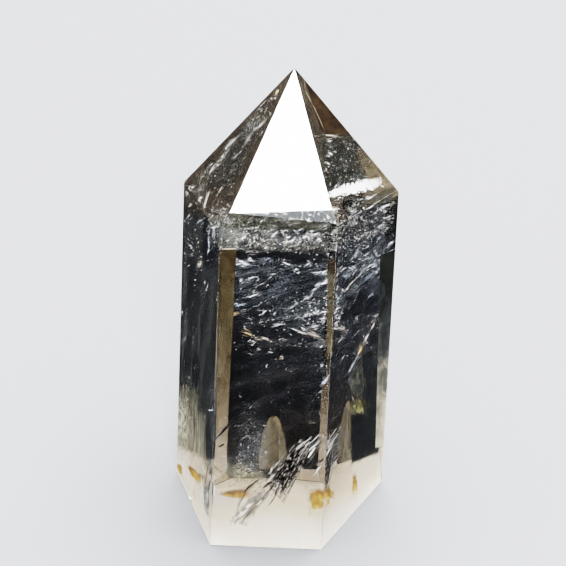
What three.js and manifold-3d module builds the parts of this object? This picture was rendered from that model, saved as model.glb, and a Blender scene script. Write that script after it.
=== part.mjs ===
// A smoky quartz crystal standing on its sawn foot: a six-sided prism that closes in a six-sided point.
//
// Units are millimetres and +Z runs up the crystal. The foot lies on z = 0 with the middle of the
// crystal's box at the origin, and the widest face, called the front, looks along -Y.
//
// The crystal is cut the way a lapidary grinds one: a rough block is brought down to one flat face
// after another. Then the sharp edges are worn back to hairline flats and the small chips come off.

import * as THREE from 'three'
import { mergeVertices } from 'three/addons/utils/BufferGeometryUtils.js'
import Module from 'manifold-3d'

// ---- driving dimensions -------------------------------------------------------------------------

// The tip, where all six faces of the point meet.
const APEX = new THREE.Vector3(-0.25, -0.75, 75.6)

// The six sides, in order round the crystal. A turn is the way a face looks, in degrees from the
// front (-Y) towards the right (+X). The prism face is upright and its plane stands `reach` from the
// axis. The face of the point above it starts at the tip and falls away at `slope` degrees.
const SIDES = {
  front: { turn: 0, reach: 13.85, pointTurn: 3.6, slope: 49.7 },
  frontRight: { turn: 60.7, reach: 12.35, pointTurn: 72.1, slope: 57.6 },
  backRight: { turn: 126.5, reach: 12.515, pointTurn: 132.2, slope: 61 },
  back: { turn: -174.8, reach: 13.48, pointTurn: -173.5, slope: 61 },
  backLeft: { turn: -122.2, reach: 13.25, pointTurn: -130.2, slope: 60.7 },
  frontLeft: { turn: -70.6, reach: 13.4, pointTurn: -83.2, slope: 57.7 },
}

// A small steep face that cuts off the corner under the point, between the front and front-left sides.
const CORNER_FACE = { turn: -67.6, slope: 85.4, reach: 18.05 }

// A narrow upright face between the back-right and back sides.
const SHOULDER_FACE = { turn: 172.5, reach: 14.17 }

// Width of the hairline flat that wear leaves along each edge.
const EDGE_WEAR = 0.16
const FOOT_WEAR = 0.24

// How much of the very tip is gone.
const TIP_WEAR = 0.3

// A nick in the foot's edge under the front-left side: a shallow shell-shaped scar.
const NICK = { x: -12.55, y: -4.95, radius: 1.3, depth: 0.3 }

// The foot's back corners are broken away. Each scar is a flat that looks outwards and down: how far
// it reaches in along the foot from the corner, and how high it climbs the corner's edge.
const LEFT_SCAR = { turn: -125, run: 0.5, rise: 1 }
const RIGHT_SCAR = { turn: 171, run: 0.6, rise: 1.9 }

// The look of the stone.
const STONE = { name: 'smoky quartz', color: 0xb9a58a, roughness: 0.05, metalness: 0 }

// ---- solids -------------------------------------------------------------------------------------

const wasm = await Module()
wasm.setup()

const UP = new THREE.Vector3(0, 0, 1)
const ROUGH_WIDTH = 60
const ROUGH_HEIGHT = 90
const LAP_SIZE = 200

function solidOf(geometry) {
  const bare = geometry.clone()
  bare.deleteAttribute('normal')
  bare.deleteAttribute('uv')
  const merged = mergeVertices(bare, 1e-4)
  const vertProperties = new Float32Array(merged.attributes.position.array)
  const triVerts = new Uint32Array(merged.index.array)
  return new wasm.Manifold(new wasm.Mesh({ numProp: 3, vertProperties, triVerts }))
}

function geometryOf(solid) {
  const mesh = solid.getMesh()
  const geometry = new THREE.BufferGeometry()
  geometry.setAttribute('position', new THREE.BufferAttribute(new Float32Array(mesh.vertProperties), 3))
  geometry.setIndex(new THREE.BufferAttribute(new Uint32Array(mesh.triVerts), 1))
  geometry.computeVertexNormals()
  return geometry
}

// ---- flat faces ---------------------------------------------------------------------------------

// The outward direction of a face, from the way it looks and how steep it is.
function facing(turn, slope = 90) {
  const round = THREE.MathUtils.degToRad(turn)
  const lean = THREE.MathUtils.degToRad(slope)
  const level = Math.sin(lean)
  return new THREE.Vector3(level * Math.sin(round), -level * Math.cos(round), Math.cos(lean))
}

function planeThrough(normal, point) {
  return { normal, offset: normal.dot(point) }
}

// Everything outside a plane, as a block that is large enough to grind the whole crystal with.
function lapFor({ normal, offset }) {
  const block = new THREE.BoxGeometry(LAP_SIZE, LAP_SIZE, LAP_SIZE)
  const turn = new THREE.Quaternion().setFromUnitVectors(UP, normal)
  const centre = normal.clone().multiplyScalar(offset + LAP_SIZE / 2)
  block.applyMatrix4(new THREE.Matrix4().compose(centre, turn, new THREE.Vector3(1, 1, 1)))
  return solidOf(block)
}

function grind(solid, plane) {
  return solid.subtract(lapFor(plane))
}

// The flat that wear leaves along the edge between two faces.
function wornEdge(first, second, width) {
  const sum = first.normal.clone().add(second.normal)
  const edgeOffset = (first.offset + second.offset) / sum.length()
  const halfAngle = first.normal.angleTo(second.normal) / 2
  return { normal: sum.normalize(), offset: edgeOffset - (width / 2) * Math.tan(halfAngle) }
}

// The place on the foot where two upright faces meet.
function footCorner(first, second) {
  const a = first.normal
  const b = second.normal
  const area = a.x * b.y - a.y * b.x
  const x = (first.offset * b.y - second.offset * a.y) / area
  const y = (a.x * second.offset - b.x * first.offset) / area
  return new THREE.Vector3(x, y, 0)
}

// A broken corner: the flat through a point `rise` up the corner's edge that comes `run` in below.
function brokenCorner(corner, { turn, run, rise }) {
  const slope = 180 - THREE.MathUtils.radToDeg(Math.atan2(rise, run))
  return planeThrough(facing(turn, slope), corner.clone().setZ(rise))
}

// ---- the crystal --------------------------------------------------------------------------------

const sides = Object.values(SIDES)
const prismFaces = sides.map(({ turn, reach }) => ({ normal: facing(turn), offset: reach }))
const pointFaces = sides.map(({ pointTurn, slope }) => planeThrough(facing(pointTurn, slope), APEX))
const shoulder = { normal: facing(SHOULDER_FACE.turn), offset: SHOULDER_FACE.reach }
const uprightFaces = prismFaces.toSpliced(3, 0, shoulder)
const cornerFace = { normal: facing(CORNER_FACE.turn, CORNER_FACE.slope), offset: CORNER_FACE.reach }
const foot = { normal: new THREE.Vector3(0, 0, -1), offset: 0 }

function roughBlock() {
  const block = new THREE.BoxGeometry(ROUGH_WIDTH, ROUGH_WIDTH, ROUGH_HEIGHT)
  block.translate(0, 0, ROUGH_HEIGHT / 2)
  return solidOf(block)
}

function wornEdges() {
  const flats = []
  uprightFaces.forEach((face, i) => {
    const next = uprightFaces[(i + 1) % uprightFaces.length]
    flats.push(wornEdge(face, next, EDGE_WEAR))
    flats.push(wornEdge(face, foot, FOOT_WEAR))
  })
  pointFaces.forEach((face, i) => {
    const next = pointFaces[(i + 1) % pointFaces.length]
    flats.push(wornEdge(face, next, EDGE_WEAR))
    flats.push(wornEdge(prismFaces[i], face, EDGE_WEAR))
  })
  return flats
}

function chips() {
  const [, , , back, backLeft] = prismFaces
  return [
    { normal: UP.clone(), offset: APEX.z - TIP_WEAR },
    brokenCorner(footCorner(back, backLeft), LEFT_SCAR),
    brokenCorner(footCorner(shoulder, back), RIGHT_SCAR),
  ]
}

function nick() {
  const shell = new THREE.IcosahedronGeometry(NICK.radius, 2)
  const outwards = facing(SIDES.frontLeft.turn)
  const centre = new THREE.Vector3(NICK.x, NICK.y, 0)
  centre.addScaledVector(outwards, NICK.radius - NICK.depth)
  shell.translate(centre.x, centre.y, centre.z)
  return solidOf(shell)
}

function crystalSolid() {
  const faces = [...uprightFaces, ...pointFaces, cornerFace]
  const cut = faces.reduce(grind, roughBlock())
  const worn = [...wornEdges(), ...chips()].reduce(grind, cut)
  return worn.subtract(nick())
}

const crystal = new THREE.Mesh(geometryOf(crystalSolid()), new THREE.MeshStandardMaterial(STONE))
crystal.name = 'crystal'

const group = new THREE.Group()
group.add(crystal)

export default group
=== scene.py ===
"""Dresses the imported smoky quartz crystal: clear stone, sawn foot, and the flaws inside it."""

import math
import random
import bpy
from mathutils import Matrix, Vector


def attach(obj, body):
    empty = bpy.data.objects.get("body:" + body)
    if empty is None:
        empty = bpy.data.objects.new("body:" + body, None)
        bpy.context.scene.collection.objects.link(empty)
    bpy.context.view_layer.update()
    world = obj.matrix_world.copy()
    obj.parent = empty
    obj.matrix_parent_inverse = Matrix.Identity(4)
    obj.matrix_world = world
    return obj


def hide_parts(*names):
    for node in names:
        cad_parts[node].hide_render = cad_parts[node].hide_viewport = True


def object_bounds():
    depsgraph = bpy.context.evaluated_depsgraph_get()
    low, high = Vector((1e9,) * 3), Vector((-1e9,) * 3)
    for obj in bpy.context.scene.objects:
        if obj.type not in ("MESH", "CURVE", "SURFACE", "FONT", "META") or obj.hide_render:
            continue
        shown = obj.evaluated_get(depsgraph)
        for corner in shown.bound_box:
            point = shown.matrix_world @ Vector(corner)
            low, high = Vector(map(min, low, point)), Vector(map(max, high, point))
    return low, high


bl_info = {
    "name": "Smoky Quartz Crystal",
    "version": (1, 0, 0),
    "blender": (4, 5, 0),
    "location": "3D View > Sidebar > Quartz",
    "description": "Builds a polished smoky quartz crystal with its veils, cracks and stained foot",
    "category": "Object",
}

from typing import NamedTuple

import bmesh
import bpy
from mathutils import Matrix, Quaternion, Vector, noise

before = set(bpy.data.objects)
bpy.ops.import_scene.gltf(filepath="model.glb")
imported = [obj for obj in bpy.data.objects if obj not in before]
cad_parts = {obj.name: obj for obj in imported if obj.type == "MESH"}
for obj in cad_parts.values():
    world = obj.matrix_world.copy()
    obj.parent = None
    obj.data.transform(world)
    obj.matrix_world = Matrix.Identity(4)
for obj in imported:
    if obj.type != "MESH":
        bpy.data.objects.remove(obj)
CAD_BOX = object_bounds()

MM = 0.001
UP = Vector((0, 0, 1))
BODY = "root"
CAD_NODE = "crystal"

# ---- the stone's cut, in millimetres and degrees, as the CAD solid has it ------------------------

APEX = Vector((-0.25, -0.75, 75.6))

# Turn and reach of each upright side, then turn and slope of the face of the point above it.
SIDES = (
    ("front", 0, 13.85, 3.6, 49.7),
    ("front_right", 60.7, 12.35, 72.1, 57.6),
    ("back_right", 126.5, 12.515, 132.2, 61),
    ("back", -174.8, 13.48, -173.5, 61),
    ("back_left", -122.2, 13.25, -130.2, 60.7),
    ("front_left", -70.6, 13.4, -83.2, 57.7),
)

# Turn, slope and reach of the small face under the point, and of the narrow one at the back.
CORNER_FACE = (-67.6, 85.4, 18.05)
SHOULDER_FACE = (172.5, 90, 14.17)

# Turn of each broken corner of the foot, how far it reaches in and how high it climbs.
LEFT_SCAR = (-125, 0.5, 1)
RIGHT_SCAR = (171, 0.6, 1.9)

TIP_WEAR = 0.3
NICK_SPOT = Vector((-12.55, -4.95, 0))
NICK_RADIUS = 1.3
NICK_DEPTH = 0.3
ROUGH_SIZE = 400
QUARTZ_IOR = 1.544

# The stone's surfaces, in the order of its material slots.
STONE, EDGE, FOOT, SCAR = range(4)

# ---- the camera ----------------------------------------------------------------------------------

# How steeply it looks down, its roll, how far it stands, what it looks at, and its lens.
CAMERA_SLOPE = 40
CAMERA_ROLL = 2.412
CAMERA_DISTANCE = 718.19
CAMERA_AIM = Vector((-0.58, 1.25, 36.206))
CAMERA_LENS = 328.486
SENSOR_WIDTH = 36
FRAME_PIXELS = 566

# What one pixel of the frame covers at the stone.
PIXEL = CAMERA_DISTANCE * SENSOR_WIDTH / CAMERA_LENS / FRAME_PIXELS

# ---- where the flaws lie -------------------------------------------------------------------------
# A flaw is placed by the face it lies behind, where it shows there in the camera's frame, in
# pixels, and how far behind the face it lies, in millimetres. Widths are in millimetres too, apart
# from those of the slivers.

# The tints of flaws, as places on the ramp of the shared tint group.
WHITE, BLUE, CREAM, WARM, GOLD = 0.1, 0.35, 0.45, 0.6, 0.9

# Streaks: piece and face, then for each streak its start, end, depth and width, and, where it isn't
# white at full strength, its strength and tint.
STREAKS = (
    ("front_streaks", "front", (
        (236, 260, 252, 266, 3, 0.5), (234, 266, 246, 262, 3, 0.25), (247, 258, 256, 262, 3, 0.3, 0.8),
        (281, 261, 293, 265, 4, 0.35, 0.9), (292, 269, 300, 270, 4, 0.25, 0.8),
        (302, 266, 312, 261, 4, 0.3, 0.8), (308, 272, 325, 271, 3, 0.2, 0.9),
        (321, 276, 328, 270, 3, 0.3), (317, 284, 334, 281, 2, 0.3), (325, 280, 336, 273, 2, 0.25),
        (309, 294, 321, 283, 4, 0.3, 0.9), (239, 282, 244, 279, 4, 0.35),
        (262, 262, 272, 257, 4, 0.2, 0.7, BLUE), (266, 275, 280, 271, 5, 0.2, 0.7),
        (240, 298, 262, 291, 5.5, 0.32), (243, 286, 262, 276, 6, 0.9, 0.3, BLUE),
        (246, 281, 258, 277, 6, 0.25, 0.9), (234, 307, 246, 303, 4, 0.3, 0.9, BLUE),
        (231, 315, 241, 312, 4, 0.2, 0.8, GOLD), (255, 285, 268, 280, 6, 0.2, 0.7),
        (261, 316, 268, 309, 6, 0.3), (272, 315, 276, 312, 6, 0.25), (294, 304, 298, 301, 7, 0.2, 0.9),
        (283, 311, 299, 302, 9, 1, 0.3, BLUE), (285, 309, 297, 303, 9, 0.2, 0.9),
        (299, 319, 311, 310, 8, 0.28), (311, 313, 317, 311, 4, 0.28), (317, 313, 334, 311, 4, 0.25),
        (308, 327, 322, 325, 6, 0.28), (293, 327, 310, 334, 9, 0.3),
        (302, 331, 326, 343, 9, 0.9, 0.6, WARM), (271, 327, 287, 325, 8, 0.3, 0.9),
        (240, 331, 257, 337, 10, 0.3, 1, GOLD), (256, 337, 273, 342, 10.5, 0.35, 1, WARM),
        (250, 341, 257, 342, 12, 0.25, 0.9), (257, 348, 262, 350, 12, 0.22, 0.9),
        (267, 351, 276, 353, 12, 0.22, 0.9), (276, 361, 287, 355, 12, 0.2, 0.8, WARM),
        (265, 366, 269, 364, 12, 0.2, 0.8), (278, 341, 290, 338, 11, 0.2, 0.6),
        (291, 347, 299, 343, 11, 0.18, 0.6), (303, 300, 312, 296, 5, 0.2, 0.7),
        (322, 292, 333, 289, 3, 0.2, 0.8), (326, 303, 334, 300, 3, 0.18, 0.9, BLUE),
        (316, 320, 330, 318, 4, 0.16, 0.8), (246, 318, 254, 320, 6, 0.16, 0.6),
        (228, 272, 236, 270, 2, 0.3, 0.7), (246, 352, 256, 355, 11, 0.16, 0.5),
        (286, 372, 296, 369, 12, 0.18, 0.45), (262, 380, 268, 378, 12, 0.15, 0.4),
        (300, 385, 306, 381, 10, 0.15, 0.4), (238, 395, 243, 397, 8, 0.15, 0.5),
        (248, 410, 254, 405, 8, 0.15, 0.4), (306, 423, 318, 422, 7, 0.12, 0.6, WARM),
        (238, 441, 250, 432, 6, 0.2, 0.4), (244, 436, 256, 441, 6, 0.15, 0.4),
    )),
    ("right_streaks", "front_right", (
        (345, 291, 357, 278, 5.5, 0.25, 1, WARM), (357, 278, 364, 270, 4.5, 0.3),
        (362, 277, 380, 266, 3.5, 1, 0.4, BLUE), (362, 273, 378, 264, 3.5, 0.25),
        (378, 266, 395, 255, 2.5, 0.5, 0.6, BLUE), (378, 262, 394, 253, 2.5, 0.2),
        (339, 271, 347, 266, 4, 0.25), (347, 267, 356, 271, 4, 0.25),
        (341, 277, 350, 274, 4, 0.2, 0.9, BLUE), (351, 262, 362, 247, 4.5, 1, 0.5, BLUE),
        (352, 261, 361, 248, 4.5, 0.2, 0.9), (365, 210, 379, 201, 3.5, 0.3),
        (379, 201, 393, 195, 2.5, 0.3), (374, 214, 393, 206, 2.5, 0.3), (365, 248, 370, 245, 4, 0.3),
        (362, 257, 370, 252, 4, 0.3, 0.9), (377, 240, 381, 235, 3, 0.3), (387, 246, 395, 240, 2, 0.4),
        (385, 262, 394, 255, 2, 0.35, 0.9, BLUE), (341, 291, 345, 289, 4, 0.3),
        (335, 217, 343, 213, 3, 0.6), (380, 309, 375, 320, 5, 0.2, 1, WARM),
        (376, 318, 369, 333, 5.4, 0.4, 1, WARM), (370, 331, 363, 345, 6, 0.7),
        (364, 343, 356, 358, 6.5, 0.9, 0.9, GOLD), (357, 357, 345, 377, 7.5, 0.5, 1, BLUE),
        (348, 228, 361, 209, 5, 1.4, 0.4), (372, 232, 388, 226, 2.5, 0.5, 0.5),
        (350, 305, 358, 296, 6, 0.2, 0.6), (338, 318, 344, 308, 5, 0.2, 0.8),
        (366, 300, 376, 290, 4, 0.18, 0.6, BLUE), (337, 345, 343, 337, 5, 0.18, 0.6),
        (352, 340, 360, 330, 6, 0.18, 0.6), (340, 362, 346, 352, 6, 0.2, 0.6, BLUE),
        (384, 290, 392, 284, 2, 0.2, 0.6), (372, 275, 384, 268, 3, 0.2, 0.8),
        (381, 220, 394, 214, 2, 0.22, 0.9), (352, 322, 361, 314, 6, 0.16, 0.5),
        (346, 384, 352, 376, 8, 0.3, 0.6, BLUE), (352, 392, 358, 404, 9, 0.25, 0.6, WARM),
    )),
    ("left_streaks", "front_left", (
        (188, 243, 194, 248, 1, 0.4, 0.9), (190, 258, 194, 252, 2, 0.25, 0.6),
        (196, 270, 204, 262, 1, 0.8, 0.75, WARM), (199, 329, 208, 319, 2, 0.5, 0.4),
        (182, 343, 187, 334, 1, 0.35, 0.5), (181, 313, 183, 311, 1, 0.3),
        (186, 379, 191, 372, 2, 0.25, 0.8), (205, 290, 208, 280, 0.32, 0.3),
        (213, 330, 216, 324, 1, 0.35), (198, 202, 201, 198, 1, 0.35), (189, 190, 192, 186, 1, 0.35, 0.9),
        (186, 198, 189, 193, 1, 0.3, 0.9), (188, 207, 192, 202, 1, 0.3, 0.9),
        (195, 226, 203, 220, 2, 0.3, 0.7, BLUE), (186, 222, 193, 214, 2, 0.25, 0.7),
        (200, 300, 205, 293, 2, 0.25, 0.5),
    )),
    ("crown_streaks", "front", (
        (220, 305, 218, 297, 1, 0.25), (221, 326, 228, 331, 1, 0.3), (212, 412, 214, 407, 1, 0.2, 0.9),
        (260, 222, 270, 211, 1, 0.5), (290, 224, 302, 221, 2, 0.4), (252, 228, 262, 225, 2, 0.35),
        (268, 226, 279, 224, 2, 0.35, 0.9), (238, 241, 248, 234, 3, 0.4), (281, 244, 300, 237, 3, 0.45),
        (301, 239, 309, 234, 3, 0.35), (308, 237, 322, 232, 3, 0.35), (317, 241, 320, 237, 2, 0.4),
        (221, 249, 240, 248, 1.5, 0.3, 1, WARM), (240, 250, 262, 253, 2, 0.2, 0.5, WARM),
        (225, 240, 236, 226, 2, 1.4, 0.5), (224, 225, 238, 216, 1, 1, 0.5),
        (296, 232, 306, 226, 3, 0.3, 0.8, BLUE), (270, 238, 280, 230, 3, 0.35, 0.8),
        (246, 222, 254, 217, 1, 0.3, 0.9), (305, 221, 318, 218, 1, 0.3, 0.9),
        (318, 228, 330, 224, 2, 0.3, 0.9), (280, 221, 290, 218, 1, 0.3, 0.9),
    )),
    ("corner_streaks", "corner", (
        (208, 251, 209, 234, 0.8, 0.3), (212, 246, 214, 226, 1, 0.3, 0.7, BLUE),
        (214, 240, 216, 224, 1, 0.3, 0.6), (207, 238, 210, 226, 1, 0.4, 0.8),
    )),
    ("point_left_streaks", "point_front_left", (
        (204, 206, 209, 190, 0.8, 0.35, 1, WARM), (250, 131, 268, 118, 3, 0.6, 0.7),
        (222, 151, 240, 135, 3, 0.6, 0.7), (208, 176, 215, 163, 2, 0.5, 0.7),
        (258, 108, 268, 97, 3, 0.25, 0.6), (240, 168, 252, 150, 4, 0.3, 0.6),
        (226, 178, 238, 166, 3, 0.3, 0.6), (216, 195, 224, 184, 2, 0.35, 0.7, WARM),
        (244, 143, 252, 134, 3, 0.4, 0.9), (275, 95, 279, 89, 2, 0.5, 1, GOLD),
        (262, 128, 270, 118, 4, 0.3, 0.7), (232, 160, 238, 152, 3, 0.4, 0.9),
    )),
    ("point_right_streaks", "point_front_right", (
        (318, 134, 340, 136, 1.5, 0.2, 0.5, WARM), (325, 142, 334, 141, 1.5, 0.15, 0.5),
        (334, 190, 340, 184, 1.2, 0.3, 0.6), (352, 179, 372, 176, 1.2, 0.2, 0.6),
        (327, 152, 333, 156, 1.2, 0.4, 0.7), (332, 144, 334, 158, 2, 0.2, 0.5),
        (341, 165, 354, 158, 2, 0.2, 0.6), (345, 148, 360, 152, 2, 0.2, 0.5, BLUE),
        (325, 162, 330, 164, 1, 0.2, 0.7), (356, 172, 370, 169, 2, 0.25, 0.5),
    )),
)


class Veil(NamedTuple):
    """A piece of healed cracks with the look of their bubbles and shards.

    A row is a face, corners from upper left round to lower left, depth at the top and at the foot,
    and strength at the top and at the foot. Each of the `hues` is a stop of a ramp: place, colour.

    The shards are drawn out by `stretch` at the angle `lie`, and about `size` of them fit in a
    millimetre. `patch` is how closely the thick patches follow each other, `cover` how much they
    fill and `haze` how milky they are. `dark` is how many facets lie in shadow, and `glint` is how
    white the shards shine.
    """

    piece: str
    material: str
    hues: tuple
    rows: tuple
    lie: float
    stretch: float
    size: float
    cover: float
    haze: float
    patch: float
    dark: float = 0.0
    glint: float = 0.6


# The hues that two of the veils share.
COOL_HUES = ((0.32, (0.42, 0.5, 0.6)), (0.5, (0.7, 0.76, 0.84)), (0.6, (0.6, 0.62, 0.6)))

VEILS = (
    Veil(
        "crushed_veils", "crushed_veil", lie=0.25, stretch=1.1, size=13.0,
        cover=0.55, haze=0.16, patch=0.35, dark=0.35,
        hues=((0.32, (0.5, 0.47, 0.52)), (0.42, (0.8, 0.84, 0.88)), (0.5, (0.9, 0.9, 0.86)),
              (0.57, (0.5, 0.44, 0.28)), (0.66, (0.7, 0.74, 0.8))),
        rows=(
            ("front", ((220, 208), (337, 220), (334, 254), (217, 255)), 1.0, 1.6, 0.45, 0.5),
            ("front", ((226, 210), (330, 222), (332, 257), (224, 253)), 4.0, 5.2, 0.45, 0.5),
            ("front", ((212, 210), (243, 210), (240, 251), (213, 252)), 2.2, 2.4, 0.6, 0.7),
            ("front_right", ((334, 226), (352, 206), (354, 244), (336, 253)), 1.4, 1.8, 0.7, 0.8),
            ("front_right", ((346, 206), (398, 188), (398, 232), (346, 248)), 2.6, 3.4, 0.5, 0.6),
        )),
    Veil(
        "speckled_veils", "speckled_veil", lie=0.6, stretch=1.6, size=4.5,
        cover=0.5, haze=0.08, patch=0.35, dark=0.2,
        hues=((0.3, (0.95, 0.93, 0.88)), (0.5, (0.97, 0.96, 0.92)), (0.6, (0.9, 0.84, 0.66)),
              (0.7, (0.96, 0.97, 1.0))),
        rows=(
            ("point_front_left", ((246, 116), (272, 108), (264, 138), (238, 144)), 3.0, 3.0, 0.7, 0.8),
            ("point_front_left", ((218, 140), (248, 132), (238, 162), (208, 174)), 3.0, 3.2, 0.8, 0.8),
            ("point_front_left", ((200, 166), (224, 158), (214, 198), (194, 192)), 2.4, 2.4, 0.6, 0.8),
            ("point_front_right", ((322, 136), (362, 142), (396, 186), (330, 200)), 1.0, 1.2, 0.15, 0.35),
        )),
    Veil(
        "stroked_veils", "stroked_veil", lie=0.32, stretch=5.0, size=4.5,
        cover=0.42, haze=0.16, patch=0.22, glint=0.4,
        hues=COOL_HUES,
        rows=(
            ("front", ((227, 250), (335, 248), (332, 302), (226, 302)), 3.5, 6.0, 1.0, 1.0),
            ("front", ((226, 298), (332, 296), (330, 352), (226, 350)), 7.0, 10.5, 1.0, 0.6),
            ("front", ((226, 346), (330, 348), (328, 425), (222, 425)), 11.0, 9.0, 0.35, 0.1),
            ("front_right", ((340, 250), (398, 228), (398, 288), (342, 300)), 3.6, 4.6, 1.0, 0.8),
            ("front_right", ((336, 296), (394, 282), (386, 400), (331, 400)), 6.0, 8.0, 0.4, 0.2),
            ("front_left", ((183, 186), (209, 208), (209, 280), (182, 268)), 1.6, 2.0, 0.8, 0.4),
        )),
    Veil(
        "upright_veils", "upright_veil", lie=1.5, stretch=4.0, size=2.6,
        cover=0.5, haze=0.45, patch=0.3,
        hues=((0.32, (0.8, 0.74, 0.58)), (0.5, (0.93, 0.9, 0.8)), (0.62, (0.7, 0.66, 0.5))),
        rows=(
            ("corner", ((206, 206), (219, 212), (214, 254), (206, 252)), 0.7, 0.9, 0.38, 0.3),
            ("front_left", ((178, 385), (210, 395), (211, 470), (176, 450)), 1.2, 1.4, 0.3, 1.0),
            ("front_left", ((176, 440), (211, 460), (212, 520), (175, 480)), 1.2, 1.4, 1.0, 1.0),
        )),
    Veil(
        "frosted_veils", "frosted_veil", lie=0.7, stretch=2.0, size=6.0,
        cover=0.5, haze=0.35, patch=0.3, dark=-0.3, glint=0.4,
        hues=COOL_HUES,
        rows=(
            ("front", ((214, 408), (272, 416), (270, 484), (216, 478)), 5.5, 7.0, 0.27, 0.58),
            ("front", ((262, 430), (304, 440), (300, 480), (260, 480)), 12.0, 13.0, 0.15, 0.5),
            ("front_right", ((333, 425), (356, 425), (352, 474), (333, 474)), 7.0, 9.0, 0.4, 0.6),
        )),
)


class Film(NamedTuple):
    """A piece of smooth films with their look; the rows are like those of a veil.

    `size` is how fine the clouds in the film are, drawn out by `stretch` at the angle `lie`.
    `ragged` is how much they tear at the rim, `soft` how gently it ends, `fade` how far it reaches
    in from each side and `blend` how the sides' rims combine. `rise` lightens the foot of the film,
    and `wave` is how much it swells.
    """

    piece: str
    material: str
    hues: tuple
    rows: tuple
    size: float
    ragged: float
    soft: float
    lie: float = 0.0
    stretch: float = 1.0
    blend: str = "MINIMUM"
    rise: float = 0.0
    fade: float = 0.4
    wave: float = 0.1


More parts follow.
